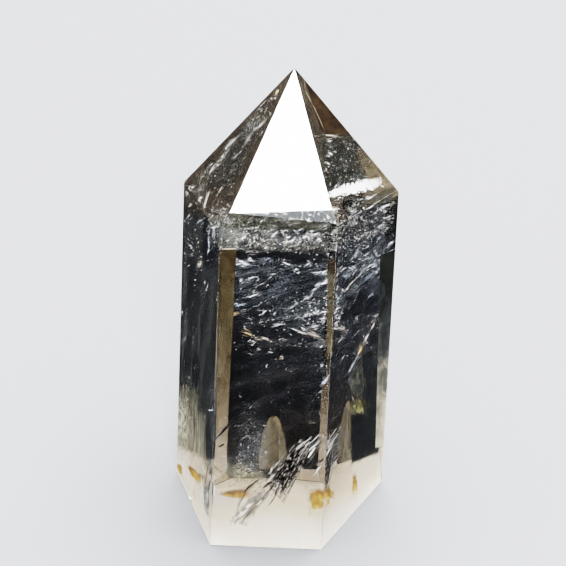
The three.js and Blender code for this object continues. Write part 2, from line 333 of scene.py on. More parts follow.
FILMS = (
    # Painted shade: dark brown sheets just behind the point's left and right faces, which darken them.
    Film(
        "painted_smoky_shade", "painted_smoky_shade_film", size=0.5, ragged=0.25, soft=0.3,
        hues=((0.35, (0.026, 0.02, 0.013)), (0.5, (0.042, 0.033, 0.023)), (0.65, (0.066, 0.052, 0.037))),
        rows=(
            ("point_front_left", ((250, 36), (316, 44), (244, 222), (112, 206)), 3.0, 3.4, 0.7, 0.75),
            ("point_front_right", ((284, 50), (304, 62), (340, 150), (298, 150)), 2.5, 3.0, 0.55, 0.6),
            ("point_front_right", ((296, 122), (358, 118), (416, 190), (322, 208)), 3.0, 3.4, 0.65, 0.8),
        )),
    # Painted shade: a darker brown sheet for a triangle of the point's right face.
    Film(
        "painted_umber_shade", "painted_umber_shade_film", size=0.5, ragged=0.25, soft=0.3, fade=0.12,
        hues=((0.35, (0.014, 0.008, 0.004)), (0.5, (0.024, 0.015, 0.008)), (0.65, (0.04, 0.026, 0.013))),
        rows=(
            ("point_front_right", ((299, 60), (306, 46), (366, 136), (322, 136)), 1.8, 2.0, 0.97, 0.97),
        )),
    # Painted shade: a dark sheet with pale specks under the point's front face, below its highlight.
    Film(
        "painted_speckled_shade", "painted_speckled_shade_film", size=2.6, ragged=0.4, soft=0.3, fade=0.1, wave=0.02,
        hues=((0.4, (0.002, 0.002, 0.002)), (0.53, (0.008, 0.008, 0.007)), (0.59, (0.09, 0.09, 0.077)),
              (0.65, (0.75, 0.75, 0.71))),
        rows=(
            ("point_front", ((222, 209), (336, 210), (342, 230), (218, 219)), 0.12, 0.12, 1.0, 1.0),
        )),
    # Painted shade: patchy dark sheets behind the point's right and left faces.
    Film(
        "painted_patchy_shade", "painted_patchy_shade_film", size=1.4, ragged=1.0, soft=0.8, lie=0.3, stretch=1.6, fade=0.6,
        hues=((0.36, (0.008, 0.0075, 0.006)), (0.5, (0.02, 0.019, 0.015)), (0.6, (0.05, 0.047, 0.038)),
              (0.7, (0.3, 0.29, 0.26))),
        rows=(
            ("point_front_right", ((308, 132), (366, 130), (398, 186), (320, 206)), 1.5, 1.5, 0.7, 0.7),
            ("point_front_left", ((256, 108), (276, 92), (232, 204), (190, 200)), 1.6, 1.6, 0.3, 0.4),
        )),
    # Painted shade: near-black sheets behind the lower right face.
    Film(
        "painted_dark_shade", "painted_dark_shade_film", size=0.6, ragged=0.3, soft=0.5,
        hues=((0.35, (0.022, 0.024, 0.027)), (0.6, (0.042, 0.043, 0.044))),
        rows=(
            ("front_right", ((349, 413), (386, 398), (380, 455), (350, 467)), 4.0, 4.4, 0.8, 0.9),
            ("front_right", ((361, 350), (386, 346), (384, 408), (362, 412)), 3.9, 4.2, 0.6, 0.8),
        )),
    # Painted shade: dark olive sheets along the top of the front and right faces, under the point.
    Film(
        "painted_olive_shade", "painted_olive_shade_film", size=6.0, ragged=1.6, soft=0.5,
        hues=((0.38, (0.016, 0.016, 0.01)), (0.5, (0.045, 0.043, 0.028)), (0.62, (0.13, 0.122, 0.085))),
        rows=(
            ("front_right", ((330, 196), (400, 184), (400, 199), (332, 218)), 0.6, 0.8, 0.8, 0.5),
            ("front", ((220, 206), (336, 218), (334, 232), (220, 228)), 0.8, 0.9, 0.6, 0.4),
        )),
    # Painted shade: brown sheets just under the faces along the edge strips, lighter towards the foot.
    Film(
        "painted_brown_shade", "painted_brown_shade_film", size=0.35, ragged=0.15, soft=0.3, rise=0.35, fade=0.2,
        hues=((0.3, (0.058, 0.043, 0.026)), (0.5, (0.096, 0.076, 0.044)), (0.68, (0.15, 0.12, 0.078))),
        rows=(
            ("front", ((217, 246), (237, 246), (229, 410), (211, 410)), 0.4, 0.4, 1.0, 0.2),
            ("front", ((327, 258), (352, 258), (350, 356), (326, 356)), 0.4, 0.4, 0.6, 0.5),
            ("point_front_right", ((354, 150), (372, 140), (412, 196), (376, 196)), 1.0, 1.0, 0.3, 0.8),
        )),
    # Painted shade: dark grey sheets behind the left face.
    Film(
        "painted_dusky_shade", "painted_dusky_shade_film", size=0.35, ragged=0.3, soft=0.5, lie=1.3, stretch=4.0,
        hues=((0.35, (0.03, 0.03, 0.028)), (0.5, (0.052, 0.051, 0.047)), (0.62, (0.09, 0.088, 0.08))),
        rows=(
            ("front_left", ((150, 180), (207, 200), (206, 424), (150, 396)), 2.2, 2.4, 0.7, 0.85),
            ("front_left", ((201, 256), (221, 258), (221, 426), (197, 420)), 0.4, 0.4, 0.6, 0.85),
            ("front_left", ((150, 300), (206, 304), (206, 416), (150, 392)), 1.8, 2.0, 0.8, 0.9),
            ("front_left", ((206, 404), (217, 404), (216, 462), (205, 462)), 0.4, 0.4, 0.9, 0.8),
        )),
    # Painted shade: a dark sheet along the right edge strip, paling to cream towards the foot.
    Film(
        "painted_strip_shade", "painted_strip_shade_film", size=0.25, ragged=0.2, soft=0.3, rise=0.9, fade=0.1,
        hues=((0.2, (0.03, 0.031, 0.026)), (0.45, (0.065, 0.066, 0.066)), (0.6, (0.16, 0.15, 0.12)),
              (0.85, (0.5, 0.45, 0.35))),
        rows=(
            ("front_right", ((380, 252), (418, 246), (412, 446), (375, 450)), 0.5, 0.5, 0.9, 1.0),
        )),
    Film(
        "milky_films", "milky_film", size=1.2, ragged=1.0, soft=0.8, lie=1.5, stretch=5.0, rise=0.3,
        hues=((0.25, (0.07, 0.066, 0.05)), (0.45, (0.165, 0.153, 0.114)), (0.6, (0.3, 0.275, 0.205)),
              (0.8, (0.6, 0.55, 0.44))),
        rows=(
            ("front_left", ((150, 372), (208, 386), (208, 466), (150, 440)), 1.0, 1.1, 0.8, 0.85),
        )),
    Film(
        "shade_films", "shade_film", size=0.6, ragged=0.9, soft=0.9, blend="MULTIPLY", fade=1.0,
        hues=((0.32, (0.05, 0.052, 0.05)), (0.5, (0.1, 0.102, 0.088)), (0.68, (0.2, 0.195, 0.15))),
        rows=(
            ("front", ((204, 212), (252, 216), (246, 256), (204, 256)), 1.6, 1.8, 0.6, 0.45),
            ("front_right", ((346, 362), (364, 358), (372, 402), (345, 402)), 3.0, 3.2, 0.8, 0.8),
        )),
    Film(
        "glow_films", "glow_film", size=0.5, ragged=0.8, soft=0.6, blend="MULTIPLY", fade=1.0,
        hues=((0.38, (0.07, 0.07, 0.045)), (0.5, (0.15, 0.14, 0.075)), (0.62, (0.34, 0.31, 0.17))),
        rows=(
            ("front_right", ((349, 398), (369, 397), (370, 417), (349, 415)), 3.0, 3.2, 0.8, 0.8),
        )),
    Film(
        "haze_films", "haze_film", size=0.9, ragged=3.0, soft=1.4, lie=0.35, stretch=4.0,
        hues=((0.4, (0.03, 0.033, 0.04)), (0.52, (0.12, 0.13, 0.15)), (0.66, (0.26, 0.28, 0.3))),
        rows=(
            ("front", ((220, 252), (300, 250), (296, 306), (220, 312)), 3.2, 4.4, 0.2, 0.17),
            ("front", ((266, 256), (340, 250), (338, 330), (262, 340)), 4.4, 6.0, 0.17, 0.14),
            ("front", ((224, 300), (338, 300), (338, 440), (222, 440)), 9.0, 11.0, 0.1, 0.08),
            ("front_right", ((336, 236), (402, 214), (400, 300), (336, 312)), 3.4, 4.6, 0.18, 0.15),
            ("front_right", ((334, 290), (396, 280), (390, 430), (332, 430)), 6.0, 8.0, 0.12, 0.08),
        )),
    Film(
        "cream_films", "cream_film", size=0.9, ragged=1.6, soft=1.0, blend="MULTIPLY", fade=1.0,
        hues=((0.35, (0.2, 0.185, 0.14)), (0.5, (0.4, 0.37, 0.28)), (0.62, (0.62, 0.58, 0.46))),
        rows=(
            ("front", ((214, 446), (280, 474), (272, 488), (214, 488)), 9.0, 10.0, 0.4, 0.7),
            ("front_left", ((168, 380), (194, 388), (194, 466), (168, 456)), 0.7, 0.8, 0.7, 1.0),
        )),
    # Painted reflection: a film of the cleft's black and silver.
    Film(
        "painted_cleft_reflection", "painted_cleft_reflection_film", size=7.0, ragged=2.4, soft=0.15, lie=1.57, stretch=7.0,
        blend="MULTIPLY", fade=1.0, wave=0.2,
        hues=((0.44, (0.006, 0.006, 0.007)), (0.52, (0.05, 0.045, 0.045)), (0.57, (0.22, 0.21, 0.2)),
              (0.62, (0.8, 0.8, 0.78))),
        rows=(
            ("front", ((300, 438), (312, 446), (284, 504), (264, 480)), 7.5, 11.5, 0.9, 0.9),
            ("front", ((260, 484), (270, 494), (246, 526), (229, 521)), 11.0, 7.8, 0.4, 0.4),
        )),
    Film(
        "white_bands", "white_band", size=2.2, ragged=2.6, soft=0.3, blend="MULTIPLY", fade=1.0,
        hues=((0.3, (0.95, 0.93, 0.84)), (0.5, (1.0, 1.0, 1.0))),
        rows=(
            ("point_front_right", ((324, 194), (348, 183), (351, 193), (328, 199)), 0.7, 0.7, 1.0, 1.0),
            ("point_front_right", ((338, 185), (372, 179), (375, 190), (342, 196)), 0.7, 0.7, 1.0, 1.0),
            ("point_front_right", ((358, 180), (381, 177), (384, 187), (364, 191)), 0.7, 0.7, 0.35, 0.35),
        )),
)

# Bright threads look like thin films. A row is face, start, end, depth and width.
THREADS = Film(
    "bright_threads", "cream_thread", size=2.6, ragged=0.8, soft=0.3, blend="MULTIPLY", fade=1.0,
    hues=((0.3, (0.3, 0.26, 0.2)), (0.55, (0.42, 0.38, 0.3))),
    rows=(
        ("point_front_right", (304, 78), (305.5, 91), 0.5, 0.07),
        ("point_front_right", (305, 90), (312, 103), 0.5, 0.09),
        ("point_front_right", (311, 101), (325, 132), 0.5, 0.08),
        ("front", (219, 249), (238, 249), 0.3, 0.3),
        ("point_front_left", (203, 208), (209, 190), 0.8, 0.2),
    ))

# The cleft climbs from the foot between two spots of the frame.
CLEFT_FOOT = Vector((231, 527))
CLEFT_TOP = Vector((312, 437))

# The shades of its slivers, from bright to darkest: painted reflections, a silver gleam of light and the
# black of dark surroundings.
PAINTED_GLEAM, GLEAM_AND_DARK, PAINTED_DARK, PAINTED_DARKEST = 0.0, 0.5, 1.0, 2.0

# Slivers: face, depth at stations from the cleft's foot to its top, then for each sliver its start,
# end, width in pixels and shade.
SLIVERS = (
    ("front", ((0, 7.5), (0.25, 9.5), (0.45, 12), (0.6, 11), (0.72, 10), (0.85, 7.8), (1, 5.2)), (
        (245, 491, 259, 479, 2.4, PAINTED_DARK), (231, 524, 239, 505, 1.2, GLEAM_AND_DARK),
        (238, 506, 246, 490, 0.9, PAINTED_DARK), (262, 484, 279, 471, 4.2, PAINTED_GLEAM),
        (264, 487, 276, 478, 2.8, PAINTED_DARK), (259, 505, 266, 494, 2.6, GLEAM_AND_DARK),
        (264, 496, 273, 486, 3.6, GLEAM_AND_DARK), (271, 488, 282, 477, 4.6, GLEAM_AND_DARK),
        (279, 480, 290, 469, 5.4, GLEAM_AND_DARK), (287, 472, 298, 458, 4.6, GLEAM_AND_DARK),
        (295, 461, 305, 448, 3.2, GLEAM_AND_DARK), (280, 498, 284, 484, 3.2, PAINTED_DARK),
        (283, 487, 290, 475, 3.8, GLEAM_AND_DARK), (288, 477, 295, 465, 3.0, PAINTED_DARK),
        (294, 467, 302, 453, 2.2, GLEAM_AND_DARK), (301, 454, 309, 442, 1.0, PAINTED_GLEAM),
        (287, 493, 295, 479, 1.6, PAINTED_DARK), (294, 481, 300, 471, 1.4, GLEAM_AND_DARK),
        (298, 472, 303, 468, 1.2, PAINTED_GLEAM), (241, 523, 252, 510, 1.8, PAINTED_DARK),
        (250, 512, 259, 503, 1.6, GLEAM_AND_DARK), (257, 505, 266, 496, 1.8, PAINTED_GLEAM),
        (233, 519, 238, 512, 2.2, PAINTED_DARK), (234, 525, 239, 518, 1.6, GLEAM_AND_DARK),
        (240, 516, 257, 497, 7.0, PAINTED_GLEAM), (273, 468, 282, 458, 2.8, GLEAM_AND_DARK),
        (269, 474, 277, 462, 2.2, PAINTED_GLEAM), (297, 449, 303, 443, 3.6, PAINTED_GLEAM),
        (302, 444, 311, 437, 1.0, PAINTED_GLEAM), (294, 463, 303, 450, 1.0, PAINTED_GLEAM),
        (297, 464, 306, 449, 1.4, PAINTED_DARK), (299, 463, 307, 449, 1.0, GLEAM_AND_DARK),
        (303, 456, 308, 448, 0.9, GLEAM_AND_DARK), (267, 499, 277, 486, 2.0, PAINTED_GLEAM),
        (275, 494, 282, 483, 1.8, PAINTED_DARK), (269, 505, 277, 493, 1.6, GLEAM_AND_DARK),
        (283, 475, 292, 462, 2.6, PAINTED_GLEAM), (285, 482, 293, 470, 1.8, PAINTED_GLEAM),
        (251, 503, 262, 488, 2.4, PAINTED_GLEAM),
    )),
    ("front_right", ((0, 5), (1, 5)), (
        (326, 443, 336, 429, 1.2, PAINTED_GLEAM), (328, 448, 338, 434, 1.1, PAINTED_GLEAM),
        (326, 456, 333, 443, 2.6, PAINTED_GLEAM), (328, 467, 340, 450, 2.2, PAINTED_DARK),
        (326, 461, 333, 449, 1.6, PAINTED_DARK), (330, 471, 337, 459, 1.4, GLEAM_AND_DARK),
        (332, 440, 340, 428, 1.0, GLEAM_AND_DARK),
    )),
    ("front", ((0, 1.5), (1, 1.5)), (
        (214, 440, 227, 426, 3.4, PAINTED_DARKEST), (221, 433, 234, 418, 3.0, PAINTED_DARKEST), (219, 447, 224, 444, 1.6, PAINTED_DARKEST),
    )),
    ("front_left", ((0, 0.7), (1, 0.7)), (
        (206, 478, 206, 508, 7.0, GLEAM_AND_DARK), (204, 484, 205, 503, 3.4, PAINTED_DARK),
        (209, 480, 207, 506, 2.0, PAINTED_DARK), (211, 476, 208, 502, 1.2, PAINTED_GLEAM),
        (203, 486, 206, 506, 1.6, GLEAM_AND_DARK),
    )),
)

# Iron stains: face, corners, depth at the left and at the right, strength.
STAINS = (
    ("front", ((213, 492), (256, 484), (256, 503), (213, 497)), 13, 10, 0.6),
    ("front", ((304, 485), (328, 485), (328, 512), (309, 518)), 5, 2.4, 0.85),
    ("front_right", ((320, 487), (337, 488), (336, 500), (320, 503)), 1.4, 1.6, 0.6),
    ("front_left", ((175, 461), (183, 463), (183, 478), (176, 474)), 0.8, 0.8, 0.9),
    ("front_left", ((183, 464), (190, 461), (205, 483), (199, 488)), 0.8, 0.8, 1.0),
    ("front_right", ((352, 471), (358, 471), (358, 498), (352, 498)), 3, 3, 0.9),
)

# Milky spires on the foot: face, tip, foot left, foot right, depths at tip and foot, bulge, and how
# blunt and how full they are.
SPIRES = (
    ("front", (273, 414), (257, 475), (288, 466), 23.5, 22, 0.5, 2.6, 0.72),
    ("front_right", (347, 410), (340, 466), (352, 461), 20, 18, 0.2, 1.0, 1.5),
)

# Clouds of flecks: face, corners, least and most depth, how many, size, slope in degrees.
FLECK_CLOUDS = (
    ("front", ((219, 214), (335, 226), (334, 251), (217, 251)), 0.8, 8, 560, 0.2, 15),
    ("front", ((214, 214), (240, 214), (238, 250), (214, 250)), 0.8, 4, 70, 0.3, 60),
    ("front_right", ((340, 226), (396, 192), (396, 236), (341, 252)), 0.8, 6, 260, 0.22, 35),
    ("front_right", ((341, 250), (396, 234), (396, 286), (343, 296)), 2, 8, 130, 0.26, 45),
    ("front", ((228, 252), (334, 250), (332, 350), (227, 352)), 2, 12, 330, 0.24, 20),
    ("front", ((300, 296), (333, 296), (331, 332), (300, 332)), 2, 6, 90, 0.3, 20),
    ("front", ((226, 350), (330, 350), (328, 440), (224, 440)), 3, 14, 60, 0.16, 30),
    ("front", ((232, 424), (268, 424), (266, 478), (230, 476)), 3, 8, 110, 0.2, 40),
    ("front_left", ((183, 190), (209, 210), (209, 300), (182, 290)), 0.8, 2, 80, 0.22, 50),
    ("front_left", ((182, 300), (208, 300), (210, 430), (180, 420)), 0.4, 1.6, 110, 0.16, 60),
    ("corner", ((207, 210), (218, 214), (213, 252), (207, 250)), 0.6, 2, 40, 0.24, 80),
    ("point_front_left", ((262, 104), (282, 92), (226, 196), (202, 186)), 1.0, 2.8, 200, 0.18, 50),
    ("point_front_right", ((322, 138), (360, 142), (394, 184), (330, 200)), 0.5, 1.4, 160, 0.08, 10),
    ("point_front_right", ((329, 195), (350, 184), (396, 183), (332, 203)), 0.8, 2, 60, 0.3, 15),
    ("front_right", ((337, 300), (392, 288), (384, 400), (334, 400)), 3, 9, 100, 0.2, 50),
)


# ---- adjustable sizes and colours ----------------------------------------------------------------

def color_setting(name, description, red, green, blue):
    """A colour that the panel shows."""
    return bpy.props.FloatVectorProperty(
        name=name, description=description, default=(red, green, blue, 1), size=4, subtype="COLOR",
        min=0, max=1)


class QuartzStone(bpy.types.PropertyGroup):
    edge_wear: bpy.props.FloatProperty(
        name="Edge wear", description="Width of the worn strip along each edge",
        default=0.2 * MM, min=0, unit="LENGTH", precision=5)
    smoke: color_setting(
        "Smoke colour", "Colour that light takes on through the stone", 0.49, 0.453, 0.402)
    smoke_density: bpy.props.FloatProperty(
        name="Smoke density", description="How strongly the stone takes up light, per metre",
        default=60, min=0)
    foot_color: color_setting("Foot colour", "Main colour of the sawn foot", 0.99, 0.905, 0.765)
    foot_shade: color_setting("Foot shade", "Darker mottling on the foot", 0.9, 0.8, 0.63)
    foot_pale: color_setting("Foot bloom", "Paler clouds on the foot", 1.0, 0.945, 0.87)
    stain_color: color_setting(
        "Iron stain", "Colour that iron leaves in cracks and on the foot", 0.62, 0.4, 0.12)


class QuartzStage(bpy.types.PropertyGroup):
    floor_color: color_setting("Floor colour", "Colour of the floor", 0.11, 0.11, 0.112)
    key_power: bpy.props.FloatProperty(
        name="Key light", description="Power of the softbox beside the camera",
        default=1.6, min=0, unit="POWER")
    top_power: bpy.props.FloatProperty(
        name="Top light", description="Power of the large softbox overhead",
        default=20, min=0, unit="POWER")
    sky_strength: bpy.props.FloatProperty(
        name="Room light", description="Strength of the even light from all round",
        default=3, min=0)


# ---- small helpers -------------------------------------------------------------------------------

def facing(turn, slope=90):
    """Outward direction of a face, from the way it looks and how steep it is."""
    around = math.radians(turn)
    lean = math.radians(slope)
    level = math.sin(lean)
    return Vector((level * math.sin(around), -level * math.cos(around), math.cos(lean)))


def new_piece(name, bm, materials, body=BODY):
    """Turn a finished bmesh, in metres, into a piece that rides on the stone."""
    piece = bpy.data.objects.new(name, plain_mesh(name, bm, materials))
    bpy.context.scene.collection.objects.link(piece)
    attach(piece, body)
    return piece


def plain_mesh(name, bm, materials=()):
    """Turn a bmesh into a mesh and free it."""
    mesh = bpy.data.meshes.new(name)
    bm.to_mesh(mesh)
    bm.free()
    for material in materials:
        mesh.materials.append(material)
    return mesh


def everything(bm):
    return bm.verts[:] + bm.edges[:] + bm.faces[:]


def mix(first, second, amount):
    return first + (second - first) * amount


# ---- the stone's flat faces ----------------------------------------------------------------------

def side_planes():
    return [(name, facing(turn), reach) for name, turn, reach, _, _ in SIDES]


def point_planes():
    planes = []
    for name, _, _, turn, slope in SIDES:
        normal = facing(turn, slope)
        planes.append(("point_" + name, normal, normal.dot(APEX)))
    return planes


def extra_plane(name, face):
    turn, slope, reach = face
    return name, facing(turn, slope), reach


def flat_faces():
    extra = [extra_plane("corner", CORNER_FACE), extra_plane("shoulder", SHOULDER_FACE)]
    return side_planes() + point_planes() + extra


FACES = {name: (normal, offset) for name, normal, offset in flat_faces()}


def foot_corner(first, second):
    """The place on the foot where two upright faces, known by name, meet."""
    a, a_reach = FACES[first]
    b, b_reach = FACES[second]
    area = a.x * b.y - a.y * b.x
    return Vector(((a_reach * b.y - b_reach * a.y) / area, (a.x * b_reach - b.x * a_reach) / area, 0))


def scar_plane(corner, scar):
    turn, run, rise = scar
    normal = facing(turn, 180 - math.degrees(math.atan2(rise, run)))
    return normal, normal.dot(corner + UP * rise)


# ---- the cut stone -------------------------------------------------------------------------------

CUT_TOLERANCE = 1e-6
MERGE_DISTANCE = 1e-4
TIP_LEVEL = APEX.z - TIP_WEAR
UNDER_TIP = TIP_LEVEL - 0.01


def cut(bm, normal, offset, surface):
    """Grind a flat face on the block and give it its surface."""
    ground = bmesh.ops.bisect_plane(
        bm, geom=everything(bm), dist=CUT_TOLERANCE, plane_co=normal * offset, plane_no=normal,
        clear_outer=True)
    rim = [item for item in ground["geom_cut"] if isinstance(item, bmesh.types.BMEdge)]
    if not rim:
        raise RuntimeError("a face misses the stone")
    for face in bmesh.ops.contextual_create(bm, geom=rim)["faces"]:
        face.material_index = surface


def cut_faces(bm):
    """Grind every flat face, then break the corners of the foot and wear off the tip."""
    for _, normal, offset in flat_faces():
        cut(bm, normal, offset, STONE)
    cut(bm, -UP, 0, FOOT)
    cut(bm, *scar_plane(foot_corner("back", "back_left"), LEFT_SCAR), SCAR)
    cut(bm, *scar_plane(foot_corner("shoulder", "back"), RIGHT_SCAR), SCAR)
    cut(bm, UP, TIP_LEVEL, EDGE)
    bmesh.ops.remove_doubles(bm, verts=bm.verts, dist=MERGE_DISTANCE)


def wear_edges(bm, edge_wear):
    """Round off each edge but those of the worn tip."""
    sharp = [edge for edge in bm.edges if min(vert.co.z for vert in edge.verts) < UNDER_TIP]
    worn = bmesh.ops.bevel(
        bm, geom=sharp, offset=edge_wear / MM, offset_type="WIDTH", segments=3, profile=0.5,
        affect="EDGES", clamp_overlap=True, material=-1)
    for face in worn["faces"]:
        face.material_index = EDGE


def stone_bmesh(edge_wear):
    """The crystal as one solid, in metres, kept inside the CAD box on X and Y."""
    bm = bmesh.new()
    bmesh.ops.create_cube(bm, size=ROUGH_SIZE)
    cut_faces(bm)
    wear_edges(bm, edge_wear)
    bmesh.ops.recalc_face_normals(bm, faces=bm.faces)
    bmesh.ops.scale(bm, verts=bm.verts, vec=(MM, MM, MM))
    lowest, highest = (Vector(corner) for corner in CAD_BOX)
    for vert in bm.verts:
        for axis in range(2):
            vert.co[axis] = min(highest[axis], max(lowest[axis], vert.co[axis]))
    return bm


def nick_ball(materials):
    """The ball whose shell is the scar of the nick in the foot's edge."""
    outwards, _ = FACES["front_left"]
    bm = bmesh.new()
    bmesh.ops.create_icosphere(bm, subdivisions=4, radius=NICK_RADIUS * MM)
    bmesh.ops.translate(bm, verts=bm.verts, vec=(NICK_SPOT + outwards * (NICK_RADIUS - NICK_DEPTH)) * MM)
    for face in bm.faces:
        face.material_index = SCAR
    return bpy.data.objects.new("nick_ball", plain_mesh("nick_ball", bm, materials))


def chip_out(piece, tool):
    """Take the tool's shape out of a piece, for good."""
    bpy.context.scene.collection.objects.link(tool)
    chip = piece.modifiers.new("chip", "BOOLEAN")
    chip.operation = "DIFFERENCE"
    chip.solver = "EXACT"
    chip.object = tool
    graph = bpy.context.evaluated_depsgraph_get()
    before = piece.data
    piece.data = bpy.data.meshes.new_from_object(piece.evaluated_get(graph))
    piece.modifiers.clear()
    bpy.data.meshes.remove(before)
    bpy.data.objects.remove(tool)


# ---- the camera and its lines of sight -----------------------------------------------------------

def camera_frame():
    """The directions to the right of, above and ahead of the camera."""
    slope = math.radians(CAMERA_SLOPE)
    roll = math.radians(CAMERA_ROLL)
    ahead = Vector((0, math.cos(slope), -math.sin(slope)))
    level = Vector((1, 0, 0))
    above = level.cross(ahead)
    right = level * math.cos(roll) + above * math.sin(roll)
    top = above * math.cos(roll) - level * math.sin(roll)
    return right, top, ahead


RIGHT, TOP, AHEAD = camera_frame()


def behind(face, spot, depth):
    """The place `depth` behind a face, in millimetres, that shows at a spot of the frame."""
    normal, offset = FACES[face]
    scale = CAMERA_LENS / SENSOR_WIDTH * FRAME_PIXELS
    across = (spot[0] - FRAME_PIXELS / 2) / scale
    down = (spot[1] - FRAME_PIXELS / 2) / scale
    line = (AHEAD + RIGHT * across - TOP * down).normalized()
    eye = CAMERA_AIM - AHEAD * CAMERA_DISTANCE
    square = -line.dot(normal)
    entry = eye + line * ((offset - normal.dot(eye)) / -square)
    steep = math.sqrt(1 - (1 - square ** 2) / QUARTZ_IOR ** 2)
    bent = line / QUARTZ_IOR + normal * (square / QUARTZ_IOR - steep)
    return entry + bent * depth


def sight(face, spot):
    """The direction of a line of sight inside the stone."""
    return behind(face, spot, 1) - behind(face, spot, 0)


def blend_spots(corners, u, v):
    """A spot between four corners: u from left to right, v from bottom to top."""
    upper_left, upper_right, lower_right, lower_left = (Vector(corner) for corner in corners)
    upper = mix(upper_left, upper_right, u)
    lower = mix(lower_left, lower_right, u)
    return mix(lower, upper, v)


# ---- flaws: thin closed sheets inside the stone --------------------------------------------------

# A flaw's maps: millimetres along and across it, 0 to 1 along and across it, and tint and strength.
FLAW_MAPS = ("grain", "shape", "tint")
SHEET_THICKNESS = 0.02
SPIRE_THICKNESS = 0.1
SPIRE_GRAIN = (10, 4)

# How far flaws stay inside the stone, and how far its smooth films do.
FACE_MARGIN = 0.3
FILM_MARGIN = 0.06

# How much a veil swells, and the points along and across each kind of sheet.
VEIL_WAVE = 0.35
VEIL_STEPS = (44, 26)
FILM_STEPS = (24, 24)
LEVEL_STEPS = (72, 72)
SPIRE_STEPS = (20, 8)
STAIN_STEPS = (8, 8)

# How far the grain of a flaw moves along and across from one seed to the next.
GRAIN_SHIFT = (7.3, 3.1)


def flaw_bmesh():
    bm = bmesh.new()
    for name in FLAW_MAPS:
        bm.loops.layers.uv.new(name)
    return bm


def finish_flaw(name, bm, material):
    """Turn a flaw, in millimetres, into a piece."""
    bmesh.ops.scale(bm, verts=bm.verts, vec=(MM, MM, MM))
    return new_piece(name, bm, (material,))


def wavy(u, v, seed):
    """A smooth wave between -1 and 1."""
    return noise.noise(Vector((u, v, seed)))


def inner_bounds(margin=FACE_MARGIN):
    """The stone's faces, moved in a little, to keep a flaw inside it."""
    bounds = [(normal, offset - margin) for _, normal, offset in flat_faces()]
    return bounds + [(-UP, -margin)]


def outside(places, bounds):
    return any(normal.dot(place) > offset for place in places for normal, offset in bounds)


def map_flaw(part, size, tint, strength, seed):
    """Write a flat grid's maps and return each point's u and v."""
    grain, shape, colour = (part.loops.layers.uv[name] for name in FLAW_MAPS)
    reach = max(vert.co.x for vert in part.verts)
    spots = {vert: (vert.co.x / reach / 2 + 0.5, vert.co.y / reach / 2 + 0.5) for vert in part.verts}
    for face in part.faces:
        for loop in face.loops:
            u, v = spots[loop.vert]
            loop[shape].uv = (u, v)
            loop[grain].uv = (u * size[0] + seed * GRAIN_SHIFT[0], v * size[1] + seed * GRAIN_SHIFT[1])
            loop[colour].uv = (tint, strength(u, v))
    return spots


def sheet(bm, steps, size, place, tint, strength, seed, bounds=(), thickness=SHEET_THICKNESS):
    """Add a thin closed sheet: `place` gives the point that is u along and v across it, 0 to 1."""
    part = flaw_bmesh()
    bmesh.ops.create_grid(part, x_segments=steps[0], y_segments=steps[1], size=1)
    for vert, (u, v) in map_flaw(part, size, tint, strength, seed).items():
        vert.co = place(u, v)
    for normal, offset in bounds:
        bmesh.ops.bisect_plane(
            part, geom=everything(part), plane_co=normal * offset, plane_no=normal, clear_outer=True)
    if not part.faces:
        raise RuntimeError("a flaw lies outside the stone")
    bmesh.ops.solidify(part, geom=part.faces[:], thickness=thickness)
    bmesh.ops.recalc_face_normals(part, faces=part.faces)
    mesh = plain_mesh("part", part)
    bm.from_mesh(mesh)
    bpy.data.meshes.remove(mesh)


# How much a ribbon sways, how hollow it is and how much it waves, as parts of its width, and how
# narrow its ends may get.
SWAY = 0.15
HOLLOW = 0.2
WAVE = 0.3
NARROWEST = 0.08

# The least length that a ribbon counts with, and the range of its seeds.
SHORTEST = 0.05
SEEDS = 60


def ribbon(bm, start, end, width, tint, strength, line, rng, steps, twist=0.5, bow=0.1, taper=0.0):
    """A flaw that runs from start to end and shows its width along the line of sight."""
    along = end - start
    length = max(along.length, SHORTEST)
    side = along.cross(line).normalized()
    side.rotate(Quaternion(along.normalized(), rng.uniform(-twist, twist)))
    lift = along.cross(side).normalized()
    seed = rng.uniform(0, SEEDS)
    bend = bow * length * rng.uniform(-1, 1)

    def place(u, v):
        across = 2 * v - 1
        sway = SWAY * width * wavy(u * length * 1.5, 0, seed + 9)
        curl = width * (HOLLOW * across * across + WAVE * wavy(u * length, across, seed + 5))
        narrow = max(NARROWEST, 4 * u * (1 - u)) ** taper
        offset = across * width / 2 * narrow + bend * 4 * u * (1 - u) + sway
        return start + along * u + side * offset + lift * curl

    sheet(bm, steps, (length, width), place, tint, lambda u, v: strength, seed)


class Hairs(NamedTuple):
    """How the fine ribbons beside a larger one vary; each value is a range.

    They start and run by parts of the larger one's length, and lie aside by parts of its width.
    """

    starts: tuple
    runs: tuple
    asides: tuple
    widths: tuple
    strengths: tuple


# A streak's main ribbon: how far it runs past both ends, as a part of its length, how much wider it
# is than the streak's own width, and the least width to count by.
STREAK_SPILL = 0.12
STREAK_SPREAD = 1.7
STREAK_LEAST = 0.22

# The hairs beside it, in millimetres: how many, and the least width to count by.
STREAK_HAIRS = Hairs(starts=(-0.4, 0.6), runs=(0.4, 0.8), asides=(-2.2, 2.2), widths=(0.15, 0.4),
                     strengths=(0.4, 0.95))
STREAK_HAIR_COUNT = 4
STREAK_HAIR_LEAST = 0.3


